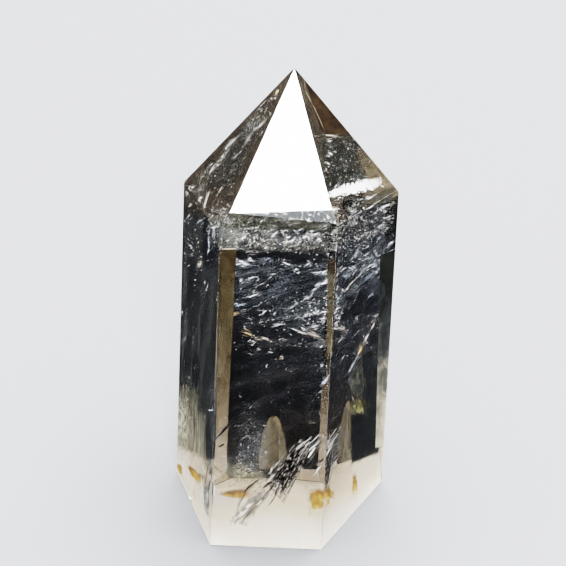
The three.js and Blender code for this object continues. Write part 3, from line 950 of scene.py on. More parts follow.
def streak(bm, face, rng, x0, y0, x1, y1, depth, width, strength=1, tint=WHITE):
    """A brush-like flaw: one main ribbon with finer ones beside it."""
    start = behind(face, (x0, y0), depth)
    end = behind(face, (x1, y1), depth)
    line = sight(face, (x0, y0))
    along = end - start
    spill = along * STREAK_SPILL
    ribbon(bm, start - spill, end + spill, max(width, STREAK_LEAST) * STREAK_SPREAD, tint, strength,
           line, rng, steps=(9, 2))
    side = along.cross(line).normalized()
    for _ in range(STREAK_HAIR_COUNT):
        first = rng.uniform(*STREAK_HAIRS.starts)
        last = first + rng.uniform(*STREAK_HAIRS.runs)
        offset = side * rng.uniform(*STREAK_HAIRS.asides) * max(width, STREAK_HAIR_LEAST)
        hair_start = start + along * first + offset
        hair_end = start + along * last + offset * 0.5
        ribbon(bm, hair_start, hair_end, rng.uniform(*STREAK_HAIRS.widths), tint,
               strength * rng.uniform(*STREAK_HAIRS.strengths), line, rng, steps=(5, 1))


def veil(bm, row, seed, rng, wave=VEIL_WAVE, steps=VEIL_STEPS, margin=FACE_MARGIN):
    """A film between four spots of the frame, from one depth to another."""
    face, corners, top_depth, foot_depth, top_strength, foot_strength = row
    wide = (behind(face, corners[1], top_depth) - behind(face, corners[0], top_depth)).length
    tall = (behind(face, corners[3], foot_depth) - behind(face, corners[0], top_depth)).length

    def place(u, v):
        slow = wavy(u * wide * 0.25, v * tall * 0.25, seed)
        swell = wave * (slow + 0.5 * wavy(u * wide, v * tall, seed))
        return behind(face, blend_spots(corners, u, v), mix(foot_depth, top_depth, v) + 2 * swell)

    sheet(bm, steps, (wide, tall), place, rng.choice((WHITE, BLUE)),
          lambda u, v: mix(foot_strength, top_strength, v), seed, inner_bounds(margin))


def fade(value, start, end):
    """1 at start, 0 at end, smooth between."""
    gone = min(1, max(0, (value - start) / (end - start)))
    return 1 - gone * gone * (3 - 2 * gone)


# How far a level veil reaches from the axis, past the stone's faces all round.
LEVEL_REACH = 16


def level_veil(bm, height, dip, wave, seed, strength):
    """A wavy sheet right across the stone: `dip` is how it falls towards +X and +Y."""
    def spread_out(u, v):
        return (2 * u - 1) * LEVEL_REACH, (2 * v - 1) * LEVEL_REACH

    def place(u, v):
        x, y = spread_out(u, v)
        lift = wave * (wavy(x * 0.16, y * 0.16, seed) + 0.4 * wavy(x * 0.5, y * 0.5, seed + 3))
        return Vector((x, y, height - dip[0] * x - dip[1] * y + lift))

    # The grain is drawn out twofold along Y.
    sheet(bm, LEVEL_STEPS, (2 * LEVEL_REACH, LEVEL_REACH), place, WHITE,
          lambda u, v: strength(*spread_out(u, v)), seed, inner_bounds())


# Flecks: how their slope scatters in degrees, how their length and width vary with the size that
# their cloud gives, how much deeper or less deep one may end, and their tints and strengths.
FLECK_SCATTER = 28
FLECK_LENGTHS = (0.4, 2.2)
FLECK_WIDTHS = (0.4, 1.1)
FLECK_DIPS = (-0.5, 0.5)
FLECK_TINTS = (WHITE, WHITE, WHITE, BLUE, WARM, CREAM)
FLECK_STRENGTHS = (0.25, 1)

# About how many pixels of the frame a millimetre of the stone takes up.
MILLIMETRE_PIXELS = 7


def fleck(bm, face, corners, near, far, size, slope, rng, bounds):
    """A small faceted scrap somewhere in a cloud; one that would come outside is left out."""
    spot = blend_spots(corners, rng.random(), rng.random())
    depth = rng.uniform(near, far)
    turn = math.radians(slope + rng.gauss(0, FLECK_SCATTER))
    reach = size * rng.uniform(*FLECK_LENGTHS) ** 1.3 * MILLIMETRE_PIXELS
    tip = spot + Vector((math.cos(turn), -math.sin(turn))) * reach
    start = behind(face, spot, depth)
    end = behind(face, tip, depth + rng.uniform(*FLECK_DIPS) * reach / MILLIMETRE_PIXELS)
    wide = size * rng.uniform(*FLECK_WIDTHS)
    tint = rng.choice(FLECK_TINTS)
    strength = rng.uniform(*FLECK_STRENGTHS)
    if not outside((start, end), bounds):
        ribbon(bm, start, end, wide, tint, strength, sight(face, spot), rng, steps=(3, 2), twist=1.0)


def cleft_depth(spot, depths):
    """How deep a sliver lies where it shows at a spot, from depths at stations along the cleft."""
    run = CLEFT_TOP - CLEFT_FOOT
    station = min(1, max(0, (Vector(spot) - CLEFT_FOOT).dot(run) / run.length_squared))
    for (first, first_depth), (last, last_depth) in zip(depths, depths[1:]):
        if station <= last:
            return mix(first_depth, last_depth, (station - first) / (last - first))
    return depths[-1][1]


# How much deeper or less deep a sliver may lie, and how far it runs past both ends, as a part of
# its length.
SLIVER_SHIFTS = (-0.4, 0.4)
SLIVER_SPILL = 0.06

# The hairs beside a sliver, in pixels, and how far past the sliver's end one may run. They are fewer
# where the cleft meets the foot, below a line of the frame.
SLIVER_HAIRS = Hairs(starts=(-0.15, 0.7), runs=(0.25, 0.7), asides=(-1, 1), widths=(0.4, 1.0),
                     strengths=(0.6, 1))
HAIR_LIMIT = 1.15
FOOT_LINE = 500
FOOT_HAIR_COUNT = 2
CLEFT_HAIR_COUNT = 5


def sliver(bm, face, depths, rng, bounds, x0, y0, x1, y1, width, shade):
    """A long fibre of the cleft with hairs beside it; its width is in pixels."""
    shift = rng.uniform(*SLIVER_SHIFTS)
    first = behind(face, (x0, y0), cleft_depth((x0, y0), depths) + shift)
    last = behind(face, (x1, y1), cleft_depth((x1, y1), depths) + shift)
    line = sight(face, (x0, y0))
    along = last - first
    side = along.cross(line).normalized() * PIXEL
    spill = along * SLIVER_SPILL
    ribbon(bm, first - spill, last + spill, (width * 0.8 + 0.3) * PIXEL * 1.1, shade, 1, line, rng,
           steps=(16, 4), twist=0.25, bow=0.03, taper=0.4)
    for _ in range(FOOT_HAIR_COUNT if y0 > FOOT_LINE else CLEFT_HAIR_COUNT):
        early = rng.uniform(*SLIVER_HAIRS.starts)
        late = min(HAIR_LIMIT, early + rng.uniform(*SLIVER_HAIRS.runs))
        aside = side * rng.uniform(*SLIVER_HAIRS.asides) * (width + 1) / 2
        start = first + along * early + aside
        end = first + along * late + aside * 0.8
        if not outside((start, end), bounds):
            ribbon(bm, start, end, rng.uniform(*SLIVER_HAIRS.widths) * PIXEL,
                   rng.choice((PAINTED_GLEAM, GLEAM_AND_DARK, PAINTED_DARK)), rng.uniform(*SLIVER_HAIRS.strengths), line, rng,
                   steps=(8, 2), twist=0.25, bow=0.04, taper=0.6)


def stain(bm, row, seed):
    """A sheet of rust between four spots of the frame."""
    face, corners, left_depth, right_depth, strength = row
    corner = behind(face, corners[0], left_depth)
    wide = (behind(face, corners[1], right_depth) - corner).length
    tall = (behind(face, corners[3], left_depth) - corner).length

    def place(u, v):
        return behind(face, blend_spots(corners, u, v), mix(left_depth, right_depth, u))

    sheet(bm, STAIN_STEPS, (wide, tall), place, GOLD, lambda u, v: strength, seed, inner_bounds())


def spire(bm, row, seed):
    """A sheet that rises from two spots of the foot to a tip, u up it and v from left to right."""
    face, tip, left, right, tip_depth, foot_depth, bulge, blunt, full = row
    tip, left, right = Vector(tip), Vector(left), Vector(right)

    def place(u, v):
        axis = mix(mix(left, right, 0.5), tip, u)
        half = (right - left) * 0.5 * max(0.1, (1 - u ** blunt) ** full)
        ragged = 1 + 0.25 * wavy(u * 5, v * 2, seed + 2)
        swell = bulge * math.sin(math.pi * v) + 0.3 * wavy(u * 4, v * 3, seed)
        return behind(face, axis + half * (2 * v - 1) * ragged, mix(foot_depth, tip_depth, u) - swell)

    sheet(bm, SPIRE_STEPS, SPIRE_GRAIN, place, WARM, lambda u, v: 1, seed, inner_bounds(), SPIRE_THICKNESS)


# ---- shader nodes --------------------------------------------------------------------------------

def wire(tree, socket, value):
    """Link a socket to another node's output, or set its value."""
    if isinstance(value, bpy.types.NodeSocket):
        tree.links.new(value, socket)
    else:
        socket.default_value = value


def dress(tree, node, **values):
    """Link or set a node's inputs by name, with _ for a space."""
    for label, value in values.items():
        wire(tree, node.inputs[label.replace("_", " ")], value)


def math_node(tree, operation, *values, clamp=False):
    node = tree.nodes.new("ShaderNodeMath")
    node.operation = operation
    node.use_clamp = clamp
    for socket, value in zip(node.inputs, values):
        wire(tree, socket, value)
    return node.outputs[0]


def times(tree, first, second, clamp=False):
    return math_node(tree, "MULTIPLY", first, second, clamp=clamp)


def plus(tree, first, second):
    return math_node(tree, "ADD", first, second)


def minus(tree, first, second):
    return math_node(tree, "SUBTRACT", first, second)


def shifted(tree, value, first, second, amount):
    """A value with `amount` times the difference between two others added."""
    return plus(tree, value, times(tree, minus(tree, first, second), amount))


def spread(tree, value, low, high, to_low=0.0, to_high=1.0):
    """Stretch the part of a value between low and high, smoothly, over a new range."""
    node = tree.nodes.new("ShaderNodeMapRange")
    node.interpolation_type = "SMOOTHSTEP"
    dress(tree, node, Value=value, From_Min=low, From_Max=high, To_Min=to_low, To_Max=to_high)
    return node.outputs["Result"]


def noise_node(tree, vector, scale, detail=3.0, roughness=0.6, distortion=0.0):
    node = tree.nodes.new("ShaderNodeTexNoise")
    dress(tree, node, Vector=vector, Scale=scale, Detail=detail, Roughness=roughness,
          Distortion=distortion)
    return node.outputs["Fac"]


def ramp_node(tree, value, stops):
    """A colour ramp from (place, colour) stops."""
    node = tree.nodes.new("ShaderNodeValToRGB")
    ramp = node.color_ramp
    while len(ramp.elements) < len(stops):
        ramp.elements.new(1)
    for element, (place, color) in zip(ramp.elements, stops):
        element.position = place
        element.color = (*color, 1)
    wire(tree, node.inputs["Fac"], value)
    return node.outputs["Color"]


def blend_node(tree, factor, first, second):
    """Blend two colours; the numbers are the colour sockets of the mix node."""
    node = tree.nodes.new("ShaderNodeMix")
    node.data_type = "RGBA"
    for index, value in ((0, factor), (6, first), (7, second)):
        wire(tree, node.inputs[index], value)
    return node.outputs[2]


def object_place(tree):
    return tree.nodes.new("ShaderNodeTexCoord").outputs["Object"]


def map_node(tree, name):
    node = tree.nodes.new("ShaderNodeUVMap")
    node.uv_map = name
    return node.outputs["UV"]


def split_node(tree, vector):
    node = tree.nodes.new("ShaderNodeSeparateXYZ")
    wire(tree, node.inputs[0], vector)
    return node.outputs


def join_node(tree, x, y, z=0.0):
    node = tree.nodes.new("ShaderNodeCombineXYZ")
    dress(tree, node, X=x, Y=y, Z=z)
    return node.outputs[0]


def drawn_node(tree, grain, lie, stretch):
    """Turn a flaw's grain by an angle and draw it out that way."""
    turned = tree.nodes.new("ShaderNodeVectorRotate")
    turned.rotation_type = "Z_AXIS"
    dress(tree, turned, Vector=grain, Angle=times(tree, lie, -1.0))
    place = split_node(tree, turned.outputs["Vector"])
    return join_node(tree, math_node(tree, "DIVIDE", place[0], stretch), place[1])


def from_middle(tree, value):
    """How far inside the rim a value from 0 to 1 is: 0 at both ends, 0.5 in the middle."""
    return minus(tree, 0.5, math_node(tree, "ABSOLUTE", minus(tree, value, 0.5)))


def edge_fade(tree, shape, fade_width, blend="MULTIPLY"):
    """Fade a flaw out towards its rim."""
    along, across = (
        spread(tree, from_middle(tree, axis), 0.0, times(tree, fade_width, 0.5))
        for axis in split_node(tree, shape)[:2])
    return math_node(tree, blend, along, across)


# ---- shader groups -------------------------------------------------------------------------------

def shader_group(name, inputs, outputs):
    """An empty shader group with named number, vector or colour sockets."""
    group = bpy.data.node_groups.new(name, "ShaderNodeTree")
    for label, kind, value in inputs:
        socket = group.interface.new_socket(label, in_out="INPUT", socket_type="NodeSocket" + kind)
        if value is not None:
            socket.default_value = value
    for label, kind in outputs:
        group.interface.new_socket(label, in_out="OUTPUT", socket_type="NodeSocket" + kind)
    given = group.nodes.new("NodeGroupInput").outputs
    return group, given, group.nodes.new("NodeGroupOutput")


def ragged_group():
    """Shards that close up where a flaw is thick and thin out to stray specks and haze around it."""
    group, given, result = shader_group(
        "ragged_film",
        (("Place", "Vector", None), ("Body", "Float", 0.5), ("Haze", "Float", 0.2),
         ("Bare", "Float", 0.72), ("Full", "Float", 0.36)),
        (("Mask", "Float"), ("Shard", "Float")))
    shards = noise_node(group, given["Place"], scale=1.0, detail=4.0, roughness=0.72, distortion=0.5)
    cloud = noise_node(group, given["Place"], scale=0.4, detail=2.0)
    reach = minus(group, given["Bare"], given["Full"])
    level = minus(group, given["Bare"], times(group, given["Body"], reach))
    sharp = spread(group, shards, minus(group, level, 0.02), plus(group, level, 0.03))
    film = times(group, times(group, given["Body"], given["Haze"]),
                 spread(group, cloud, 0.3, 0.65, 0.2, 1.4))
    dress(group, result, Mask=math_node(group, "MAXIMUM", sharp, film, clamp=True), Shard=sharp)
    return group


def grain_group():
    """A brushed flaw: fine fibres along it, close in the middle and ragged at its edges."""
    group, given, result = shader_group(
        "brushed_film",
        (("Grain", "Vector", None), ("Shape", "Vector", None), ("Fibre", "Float", 1.2),
         ("Cross", "Float", 6.0), ("Cover", "Float", 1.0), ("Haze", "Float", 0.2),
         ("Full", "Float", 0.45)),
        (("Mask", "Float"), ("Shard", "Float")))
    place = split_node(group, given["Grain"])
    fibres = join_node(group, times(group, place[0], given["Fibre"]),
                       times(group, place[1], given["Cross"]))
    body = times(group, edge_fade(group, given["Shape"], 1.0), given["Cover"], clamp=True)
    film = placed_group(group, "ragged_film", ragged_group, Place=fibres, Body=body,
                        Haze=given["Haze"], Full=given["Full"])
    dress(group, result, Mask=film["Mask"], Shard=film["Shard"])
    return group


def veil_group():
    """A film of shards and haze that thickens in patches and is drawn out one way."""
    group, given, result = shader_group(
        "veil_film",
        (("Grain", "Vector", None), ("Shape", "Vector", None), ("Lie", "Float", 0.3),
         ("Stretch", "Float", 4.0), ("Size", "Float", 3.0), ("Cover", "Float", 0.5),
         ("Haze", "Float", 0.2), ("Patch", "Float", 0.35)),
        (("Mask", "Float"), ("Shard", "Float"), ("Hue", "Float"), ("Facet", "Float")))
    drawn = drawn_node(group, given["Grain"], given["Lie"], given["Stretch"])
    scaled = group.nodes.new("ShaderNodeVectorMath")
    scaled.operation = "SCALE"
    dress(group, scaled, Vector=drawn, Scale=given["Size"])
    patches = noise_node(group, drawn, given["Patch"], roughness=0.62, distortion=0.8)
    rim = edge_fade(group, given["Shape"], 0.3)
    thick = times(group, spread(group, patches, 0.4, 0.66), rim)
    body = times(group, thick, given["Cover"], clamp=True)
    film = placed_group(group, "ragged_film", ragged_group, Place=scaled.outputs[0], Body=body,
                        Haze=given["Haze"])
    dress(group, result, Mask=times(group, film["Mask"], spread(group, rim, 0.0, 0.3)),
          Shard=film["Shard"], Hue=noise_node(group, given["Grain"], scale=0.6, distortion=0.5),
          Facet=noise_node(group, scaled.outputs[0], scale=1.7, detail=2.0, roughness=0.5))
    return group


def tint_group():
    """The shades a flaw takes on, from bright white through blue and cream to gold."""
    group, given, result = shader_group(
        "flaw_tint", (("Tint", "Float", 0.1), ("Shard", "Float", 0.5)), (("Color", "Color"),))
    colour = ramp_node(group, given["Tint"], (
        (0.0, (0.98, 0.98, 1.0)), (0.2, (0.98, 0.98, 0.97)), (0.36, (0.7, 0.82, 0.97)),
        (0.5, (0.94, 0.92, 0.88)), (0.64, (0.97, 0.86, 0.68)), (0.92, (0.86, 0.62, 0.26))))
    haze = blend_node(group, 0.5, colour, (0.5, 0.55, 0.62, 1))
    dress(group, result, Color=blend_node(group, given["Shard"], haze, colour))
    return group


def wear_group():
    """Fine polishing marks and smudges."""
    group, given, result = shader_group(
        "polish_marks",
        (("Place", "Vector", None), ("Scale", "Float", 400.0), ("Smooth", "Float", 0.0),
         ("Rough", "Float", 0.05)),
        (("Roughness", "Float"), ("Height", "Float")))
    smudge = noise_node(group, given["Place"], times(group, given["Scale"], 0.25), detail=4.0)
    fine = noise_node(group, given["Place"], given["Scale"], distortion=1.5)
    roughness = spread(group, smudge, 0.35, 0.75, given["Smooth"], given["Rough"])
    dress(group, result, Roughness=roughness, Height=fine)
    return group


def placed_group(tree, name, maker, **values):
    """Put a shared group in a material, making it the first time."""
    node = tree.nodes.new("ShaderNodeGroup")
    node.node_tree = bpy.data.node_groups.get(name) or maker()
    dress(tree, node, **values)
    return node.outputs


# ---- materials -----------------------------------------------------------------------------------

def bare_material(name):
    material = bpy.data.materials.new(name)
    material.use_nodes = True
    tree = material.node_tree
    return material, tree, tree.nodes["Principled BSDF"]


def bump(tree, skin, height, strength, distance=0.0001):
    node = tree.nodes.new("ShaderNodeBump")
    dress(tree, node, Strength=strength, Distance=distance, Height=height)
    dress(tree, skin, Normal=node.outputs["Normal"])


def clear_quartz(name, look, smooth, rough, marks, clearness=1.0):
    """See-through smoky stone, from mirror polish to worn."""
    material, tree, skin = bare_material(name)
    polish = placed_group(tree, "polish_marks", wear_group, Place=object_place(tree),
                          Smooth=smooth, Rough=rough)
    dress(tree, skin, Base_Color=(1, 1, 1, 1), IOR=QUARTZ_IOR, Transmission_Weight=clearness,
          Roughness=polish["Roughness"])
    bump(tree, skin, polish["Height"], marks, distance=0.00002)
    smoke = tree.nodes.new("ShaderNodeVolumeAbsorption")
    dress(tree, smoke, Color=look.smoke, Density=look.smoke_density)
    dress(tree, tree.nodes["Material Output"], Volume=smoke.outputs["Volume"])
    return material


def sawn_foot(name, look, rust_strength):
    """The unpolished foot: cream, mottled, with faint saw marks and rusty blooms."""
    material, tree, skin = bare_material(name)
    place = object_place(tree)
    mottle = noise_node(tree, place, scale=260.0, detail=5.0)
    cloud = noise_node(tree, place, scale=70.0, roughness=0.5)
    blooms = noise_node(tree, place, scale=150.0, detail=4.0, roughness=0.7)
    base = blend_node(tree, spread(tree, mottle, 0.35, 0.7), look.foot_color, look.foot_shade)
    pale = blend_node(tree, spread(tree, cloud, 0.4, 0.65), base, look.foot_pale)
    rust = spread(tree, blooms, 0.64, 0.76, 0.0, rust_strength)
    dress(tree, skin, Base_Color=blend_node(tree, rust, pale, look.stain_color), Roughness=0.75)
    saw = tree.nodes.new("ShaderNodeTexWave")
    dress(tree, saw, Scale=900, Distortion=3, Vector=place)
    bump(tree, skin, plus(tree, times(tree, saw.outputs["Fac"], 0.4), mottle), 0.5)
    return material


def flaw_maps(tree):
    """The maps of a flaw, and its shape, its tint and its strength as numbers."""
    grain, shape, colour = (map_node(tree, name) for name in FLAW_MAPS)
    return grain, shape, split_node(tree, shape), *split_node(tree, colour)[:2]


def brushed_material(name, fibre, cross, cover, haze, full):
    """A streak or fleck: bright shards with a little haze round them."""
    material, tree, skin = bare_material(name)
    grain, shape, _, tint, strength = flaw_maps(tree)
    film = placed_group(tree, "brushed_film", grain_group, Grain=grain, Shape=shape, Fibre=fibre,
                        Cross=cross, Cover=cover, Haze=haze, Full=full)
    shade = placed_group(tree, "flaw_tint", tint_group, Tint=tint, Shard=film["Shard"])
    clear = math_node(tree, "POWER", strength, 1.8)
    dress(tree, skin, Base_Color=shade["Color"], Roughness=0.4,
          Alpha=times(tree, film["Mask"], clear, clamp=True))
    return material


def film_material(kind):
    """A smooth film with a soft or a ragged rim. The dark ones are painted shade; the rest lie in healed
    cracks.
    """
    material, tree, skin = bare_material(kind.material)
    grain, shape, (_, height, _), _, strength = flaw_maps(tree)
    cloud = noise_node(tree, drawn_node(tree, grain, kind.lie, kind.stretch), kind.size, detail=4.0,
                       roughness=0.62, distortion=0.5)
    lobes = shifted(tree, edge_fade(tree, shape, kind.fade, kind.blend), cloud, 0.5, kind.ragged)
    hue = shifted(tree, cloud, 0.5, height, kind.rise)
    dress(tree, skin, Base_Color=ramp_node(tree, hue, kind.hues), Roughness=0.6,
          Specular_IOR_Level=0.0, Alpha=times(tree, spread(tree, lobes, 0.0, kind.soft), strength))
    return material


def veil_material(kind):
    """A healed crack: a film of tiny bubbles and shards, thick in patches."""
    material, tree, skin = bare_material(kind.material)
    grain, shape, _, _, strength = flaw_maps(tree)
    film = placed_group(tree, "veil_film", veil_group, Grain=grain, Shape=shape, Lie=kind.lie,
                        Stretch=kind.stretch, Size=kind.size, Cover=times(tree, strength, kind.cover),
                        Haze=kind.haze, Patch=kind.patch)
    hue = ramp_node(tree, film["Hue"], kind.hues)
    bright = blend_node(tree, times(tree, film["Shard"], kind.glint), hue, (1, 1, 1, 1))
    shadow = spread(tree, film["Facet"], 0.36 + 0.3 * kind.dark, 0.3 + 0.3 * kind.dark)
    dress(tree, skin, Base_Color=blend_node(tree, shadow, bright, (0.02, 0.02, 0.022, 1)),
          Alpha=film["Mask"], Roughness=0.45)
    return material


def cleft_material():
    """An open crack: long fibres of painted silver gleam and painted black reflection side by side."""
    material, tree, skin = bare_material("open_cleft_painted_reflection")
    grain, _, (_, across, _), shade, strength = flaw_maps(tree)
    place = split_node(tree, grain)
    fibres = join_node(tree, times(tree, place[0], 0.3), times(tree, place[1], 8.0))
    slivers = noise_node(tree, fibres, scale=1.0, roughness=0.65, distortion=0.3)
    color = ramp_node(tree, shifted(tree, slivers, 0.46, shade, 0.24), (
        (0.46, (0.006, 0.006, 0.008)), (0.49, (0.06, 0.055, 0.05)), (0.52, (0.32, 0.31, 0.29)),
        (0.58, (0.95, 0.95, 0.93))))
    ragged = shifted(tree, from_middle(tree, across), slivers, 0.56, 1.2)
    dress(tree, skin, Base_Color=color, Roughness=0.4,
          Alpha=times(tree, spread(tree, ragged, 0.0, 0.1), strength))
    bump(tree, skin, slivers, 0.3)
    return material


def stain_material():
    """Iron that has crept into a crack: brown at its root, golden and thin at its rim."""
    material, tree, skin = bare_material("iron_stain")
    grain, shape, (_, height, _), _, strength = flaw_maps(tree)
    cloud = noise_node(tree, grain, scale=0.8, roughness=0.55, distortion=0.4)
    lobes = shifted(tree, edge_fade(tree, shape, 1.0), cloud, 0.5, 0.6)
    rooted = plus(tree, times(tree, height, 0.45), times(tree, cloud, 0.8))
    color = ramp_node(tree, rooted, (
        (0.36, (0.86, 0.71, 0.36)), (0.56, (0.6, 0.38, 0.11)), (0.74, (0.3, 0.15, 0.03))))
    dress(tree, skin, Base_Color=color, Roughness=0.6,
          Alpha=times(tree, spread(tree, lobes, 0.0, 0.6), strength))
    return material


def spire_material():
    """A milky spire with upright streaks, brighter along its right rim."""
    material, tree, skin = bare_material("milky_spire")
    grain, shape, (upwards, rightwards, _), _, _ = flaw_maps(tree)
    streaks = noise_node(tree, grain, scale=0.6, distortion=0.5)
    body = ramp_node(tree, streaks, (
        (0.3, (0.26, 0.235, 0.18)), (0.5, (0.33, 0.3, 0.235)), (0.7, (0.42, 0.38, 0.3))))
    rim = times(tree, spread(tree, upwards, 0.6, 0.95), spread(tree, rightwards, 0.5, 0.9))
    side = math_node(tree, "MAXIMUM", rim, spread(tree, upwards, 0.88, 0.98))
    color = blend_node(tree, times(tree, side, 0.5), body, (0.85, 0.7, 0.42, 1))
    solid = spread(tree, streaks, 0.3, 0.6, 0.8, 0.95)
    dress(tree, skin, Base_Color=color, Roughness=0.7,
          Alpha=times(tree, edge_fade(tree, shape, 0.22), solid))
    return material


# ---- operators -----------------------------------------------------------------------------------

class QUARTZ_OT_stone(bpy.types.Operator):
    """Build the polished stone with its sawn foot"""

    bl_idname = "quartz.stone"
    bl_label = "Stone"

    def execute(self, context):
        look = context.scene.quartz_stone
        polished = clear_quartz("polished_quartz", look, smooth=0.0, rough=0.012, marks=0.01)
        worn = clear_quartz("worn_edge", look, smooth=0.1, rough=0.3, marks=0.3, clearness=0.96)
        foot = sawn_foot("sawn_foot", look, rust_strength=0.3)
        scar = sawn_foot("broken_corner", look, rust_strength=0.1)
        piece = new_piece("quartz_body", stone_bmesh(look.edge_wear), (polished, worn, foot, scar))
        chip_out(piece, nick_ball(piece.data.materials))
        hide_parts(CAD_NODE)
        return {"FINISHED"}


class QUARTZ_OT_veils(bpy.types.Operator):
    """Build the healed cracks under the point and the milky films near the foot"""

    bl_idname = "quartz.veils"
    bl_label = "Veils"

    def execute(self, context):
        materials = {kind.piece: veil_material(kind) for kind in VEILS}
        rng = random.Random(2)
        bm = flaw_bmesh()
        level_veil(bm, height=54.6, dip=(0.02, 0.02), wave=1.0, seed=1.7,
                   strength=lambda x, y: 0.7 * fade(y, -9, 3) + 0.1)
        level_veil(bm, height=50.5, dip=(0.22, 0.3), wave=1.2, seed=8.3,
                   strength=lambda x, y: 0.7 * fade(-x, -6, 1) + 0.05)
        finish_flaw("crown_veils", bm, materials["speckled_veils"])
        for kind in VEILS:
            bm = flaw_bmesh()
            for number, row in enumerate(kind.rows):
                veil(bm, row, seed=1.3 + number * 2.7, rng=rng)
            finish_flaw(kind.piece, bm, materials[kind.piece])
        return {"FINISHED"}


class QUARTZ_OT_films(bpy.types.Operator):
    """Build the smooth films, the dark ones painted shade, and the bright threads inside the stone"""

    bl_idname = "quartz.films"
    bl_label = "Films"

    def execute(self, context):
        rng = random.Random(8)
        for kind in FILMS:
            bm = flaw_bmesh()
            for number, row in enumerate(kind.rows):
                veil(bm, row, seed=2.1 + number * 1.9, rng=rng, wave=kind.wave, steps=FILM_STEPS,
                     margin=FILM_MARGIN)
            piece = finish_flaw(kind.piece, bm, film_material(kind))
            # Films only tint what is seen through them and cast no shade; the dark ones are painted shade.
            piece.visible_diffuse = False
            piece.visible_shadow = False
        bm = flaw_bmesh()
        for face, start, end, depth, width in THREADS.rows:
            ribbon(bm, behind(face, start, depth), behind(face, end, depth), width, WARM, 1,
                   sight(face, start), rng, steps=(10, 2), twist=0.2, bow=0.02)
        finish_flaw(THREADS.piece, bm, film_material(THREADS))
        return {"FINISHED"}


class QUARTZ_OT_streaks(bpy.types.Operator):
    """Build the brush-like streaks inside the stone"""

    bl_idname = "quartz.streaks"
    bl_label = "Streaks"

    def execute(self, context):
        brush = brushed_material("brushed_flaw", fibre=1.0, cross=6.5, cover=1.05, haze=0.28, full=0.46)
        rng = random.Random(4)
        for name, face, rows in STREAKS:
            bm = flaw_bmesh()
            for row in rows:
                streak(bm, face, rng, *row)
            finish_flaw(name, bm, brush)
        return {"FINISHED"}


class QUARTZ_OT_flecks(bpy.types.Operator):
    """Scatter the small bright flecks that fill the cloudy parts"""

    bl_idname = "quartz.flecks"
    bl_label = "Flecks"

    def execute(self, context):
        chip = brushed_material("bright_fleck", fibre=1.4, cross=6.0, cover=1.3, haze=0.12, full=0.4)
        rng = random.Random(11)
        bm = flaw_bmesh()
        bounds = inner_bounds()
        for face, corners, near, far, count, size, slope in FLECK_CLOUDS:
            for _ in range(count):
                fleck(bm, face, corners, near, far, size, slope, rng, bounds)
        finish_flaw("bright_flecks", bm, chip)
        return {"FINISHED"}


class QUARTZ_OT_cleft(bpy.types.Operator):
    """Build the open crack that climbs from the foot"""

    bl_idname = "quartz.cleft"
    bl_label = "Cleft"

    def execute(self, context):
        rng = random.Random(21)
        bm = flaw_bmesh()
        bounds = inner_bounds()
        for face, depths, rows in SLIVERS:
            for row in rows:
                sliver(bm, face, depths, rng, bounds, *row)
        finish_flaw("foot_cleft", bm, cleft_material())
        return {"FINISHED"}


class QUARTZ_OT_stains(bpy.types.Operator):
    """Build the iron stains near the foot"""

    bl_idname = "quartz.stains"
    bl_label = "Iron stains"

    def execute(self, context):
        bm = flaw_bmesh()
        for number, row in enumerate(STAINS):
            stain(bm, row, number + 5)
        finish_flaw("iron_stains", bm, stain_material())
        return {"FINISHED"}


class QUARTZ_OT_spires(bpy.types.Operator):
    """Build the milky spires that stand on the foot"""

    bl_idname = "quartz.spires"
    bl_label = "Spires"

    def execute(self, context):
        bm = flaw_bmesh()
        for number, row in enumerate(SPIRES):
            spire(bm, row, number)
        finish_flaw("milky_spires", bm, spire_material())
        return {"FINISHED"}


# ---- the stage -----------------------------------------------------------------------------------

# How wide the floor and the card are, in metres, and how far they lie under the foot.
FLOOR_SIZE = 8
FLOOR_DROP = 0.05
CARD_DROP = 0.4
CARD_COLOR = (0.037, 0.039, 0.045, 1)
SKY_COLOR = (0.9, 0.94, 1, 1)

# What the lights look at, in metres.
LIGHT_AIM = Vector((0, 0, 0.04))


def add_camera(scene):
    lens = bpy.data.cameras.new("camera")
    lens.sensor_width = SENSOR_WIDTH
    lens.lens = CAMERA_LENS
    lens.clip_start = 0.01
    lens.clip_end = 20
    camera = bpy.data.objects.new("camera", lens)
    placed = Matrix((RIGHT, TOP, -AHEAD)).transposed().to_4x4()
    placed.translation = (CAMERA_AIM - AHEAD * CAMERA_DISTANCE) * MM
    camera.matrix_world = placed
    scene.collection.objects.link(camera)
    scene.camera = camera


def matte(name, color):
    material, tree, skin = bare_material(name)
    dress(tree, skin, Base_Color=color, Roughness=0.9, Specular_IOR_Level=0.1)
    return material


def stage_sheet(name, drop, material):
    """A level sheet of the stage, `drop` millimetres under the foot."""
    bm = bmesh.new()
    bmesh.ops.create_grid(bm, x_segments=8, y_segments=8, size=FLOOR_SIZE / 2)
    bmesh.ops.translate(bm, verts=bm.verts, vec=(0, 0, -drop * MM))
    flat = bpy.data.objects.new(name, plain_mesh(name, bm, (material,)))
    bpy.context.scene.collection.objects.link(flat)
    return flat


def add_floor(look):
    """The floor that the camera sees, and under it the dark card that shows through the stone."""
    floor = stage_sheet("floor", FLOOR_DROP, matte("pale_floor", look.floor_color))
    floor.visible_transmission = False
    floor.visible_glossy = False
    card = stage_sheet("dark_card", CARD_DROP, matte("dark_card", CARD_COLOR))
    card.visible_camera = False
    card.visible_diffuse = False
    card.visible_shadow = False


def add_sky(scene, strength):
    world = bpy.data.worlds.new("studio")
    world.use_nodes = True
    dress(world.node_tree, world.node_tree.nodes["Background"], Color=SKY_COLOR, Strength=strength)
    scene.world = world


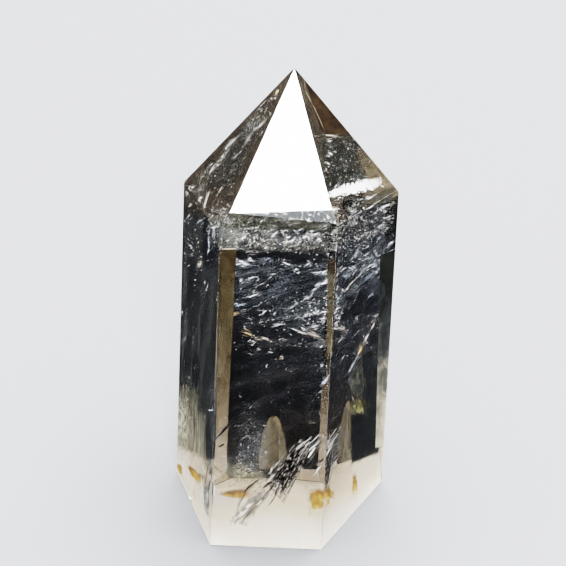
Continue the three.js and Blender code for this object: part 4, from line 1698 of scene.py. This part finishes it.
def softbox(scene, name, towards, distance, size, power, shift=(0, 0)):
    """A soft rectangle of light that looks at the stone and that the camera doesn't see."""
    towards = towards.normalized()
    level = UP.cross(towards).normalized()
    rise = towards.cross(level)
    lamp = bpy.data.lights.new(name, "AREA")
    lamp.shape = "RECTANGLE"
    lamp.size, lamp.size_y = size
    lamp.energy = power
    light = bpy.data.objects.new(name, lamp)
    scene.collection.objects.link(light)
    light.location = LIGHT_AIM + towards * distance + level * shift[0] + rise * shift[1]
    light.rotation_euler = (-towards).to_track_quat("-Z", "Y").to_euler()
    light.visible_camera = False


class QUARTZ_OT_stage(bpy.types.Operator):
    """Set up the camera, floor and studio lights"""

    bl_idname = "quartz.stage"
    bl_label = "Stage"

    def execute(self, context):
        scene = context.scene
        look = scene.quartz_stage
        add_camera(scene)
        add_floor(look)
        add_sky(scene, look.sky_strength)

        point, _ = FACES["point_front"]
        mirror = AHEAD - 2 * AHEAD.dot(point) * point
        softbox(scene, "key_light", mirror, distance=0.5, size=(0.06, 0.06), power=look.key_power,
                shift=(-0.003, 0.044))
        softbox(scene, "top_light", Vector((0.1, 0.25, 1)), distance=0.8, size=(0.7, 0.7),
                power=look.top_power)

        scene.view_settings.view_transform = "Filmic"
        scene.view_settings.look = "Very High Contrast"
        scene.view_settings.exposure = 0.8
        scene.cycles.max_bounces = 24
        scene.cycles.transmission_bounces = 24
        scene.cycles.transparent_max_bounces = 48
        scene.cycles.glossy_bounces = 8
        scene.cycles.diffuse_bounces = 4
        return {"FINISHED"}


# ---- panel and run -------------------------------------------------------------------------------

PIECES = (
    QUARTZ_OT_stone,
    QUARTZ_OT_veils,
    QUARTZ_OT_films,
    QUARTZ_OT_streaks,
    QUARTZ_OT_flecks,
    QUARTZ_OT_cleft,
    QUARTZ_OT_stains,
    QUARTZ_OT_spires,
)


class QUARTZ_PT_panel(bpy.types.Panel):
    """Lists the pieces of the crystal and its stage"""

    bl_label = "Smoky Quartz"
    bl_idname = "QUARTZ_PT_panel"
    bl_space_type = "VIEW_3D"
    bl_region_type = "UI"
    bl_category = "Quartz"

    def draw(self, context):
        layout = self.layout
        for settings in (context.scene.quartz_stone, context.scene.quartz_stage):
            for name in settings.bl_rna.properties.keys():
                if name not in {"rna_type", "name"}:
                    layout.prop(settings, name)
        for operator in (*PIECES, QUARTZ_OT_stage):
            layout.operator(operator.bl_idname)


CLASSES = (QuartzStone, QuartzStage, *PIECES, QUARTZ_OT_stage, QUARTZ_PT_panel)


def register():
    for cls in CLASSES:
        bpy.utils.register_class(cls)
    bpy.types.Scene.quartz_stone = bpy.props.PointerProperty(type=QuartzStone)
    bpy.types.Scene.quartz_stage = bpy.props.PointerProperty(type=QuartzStage)


def unregister():
    del bpy.types.Scene.quartz_stage
    del bpy.types.Scene.quartz_stone
    for cls in reversed(CLASSES):
        bpy.utils.unregister_class(cls)


def main():
    register()
    bpy.ops.quartz.stage()
    for piece in PIECES:
        category, name = piece.bl_idname.split(".")
        getattr(getattr(bpy.ops, category), name)()


if __name__ == "__main__":
    main()
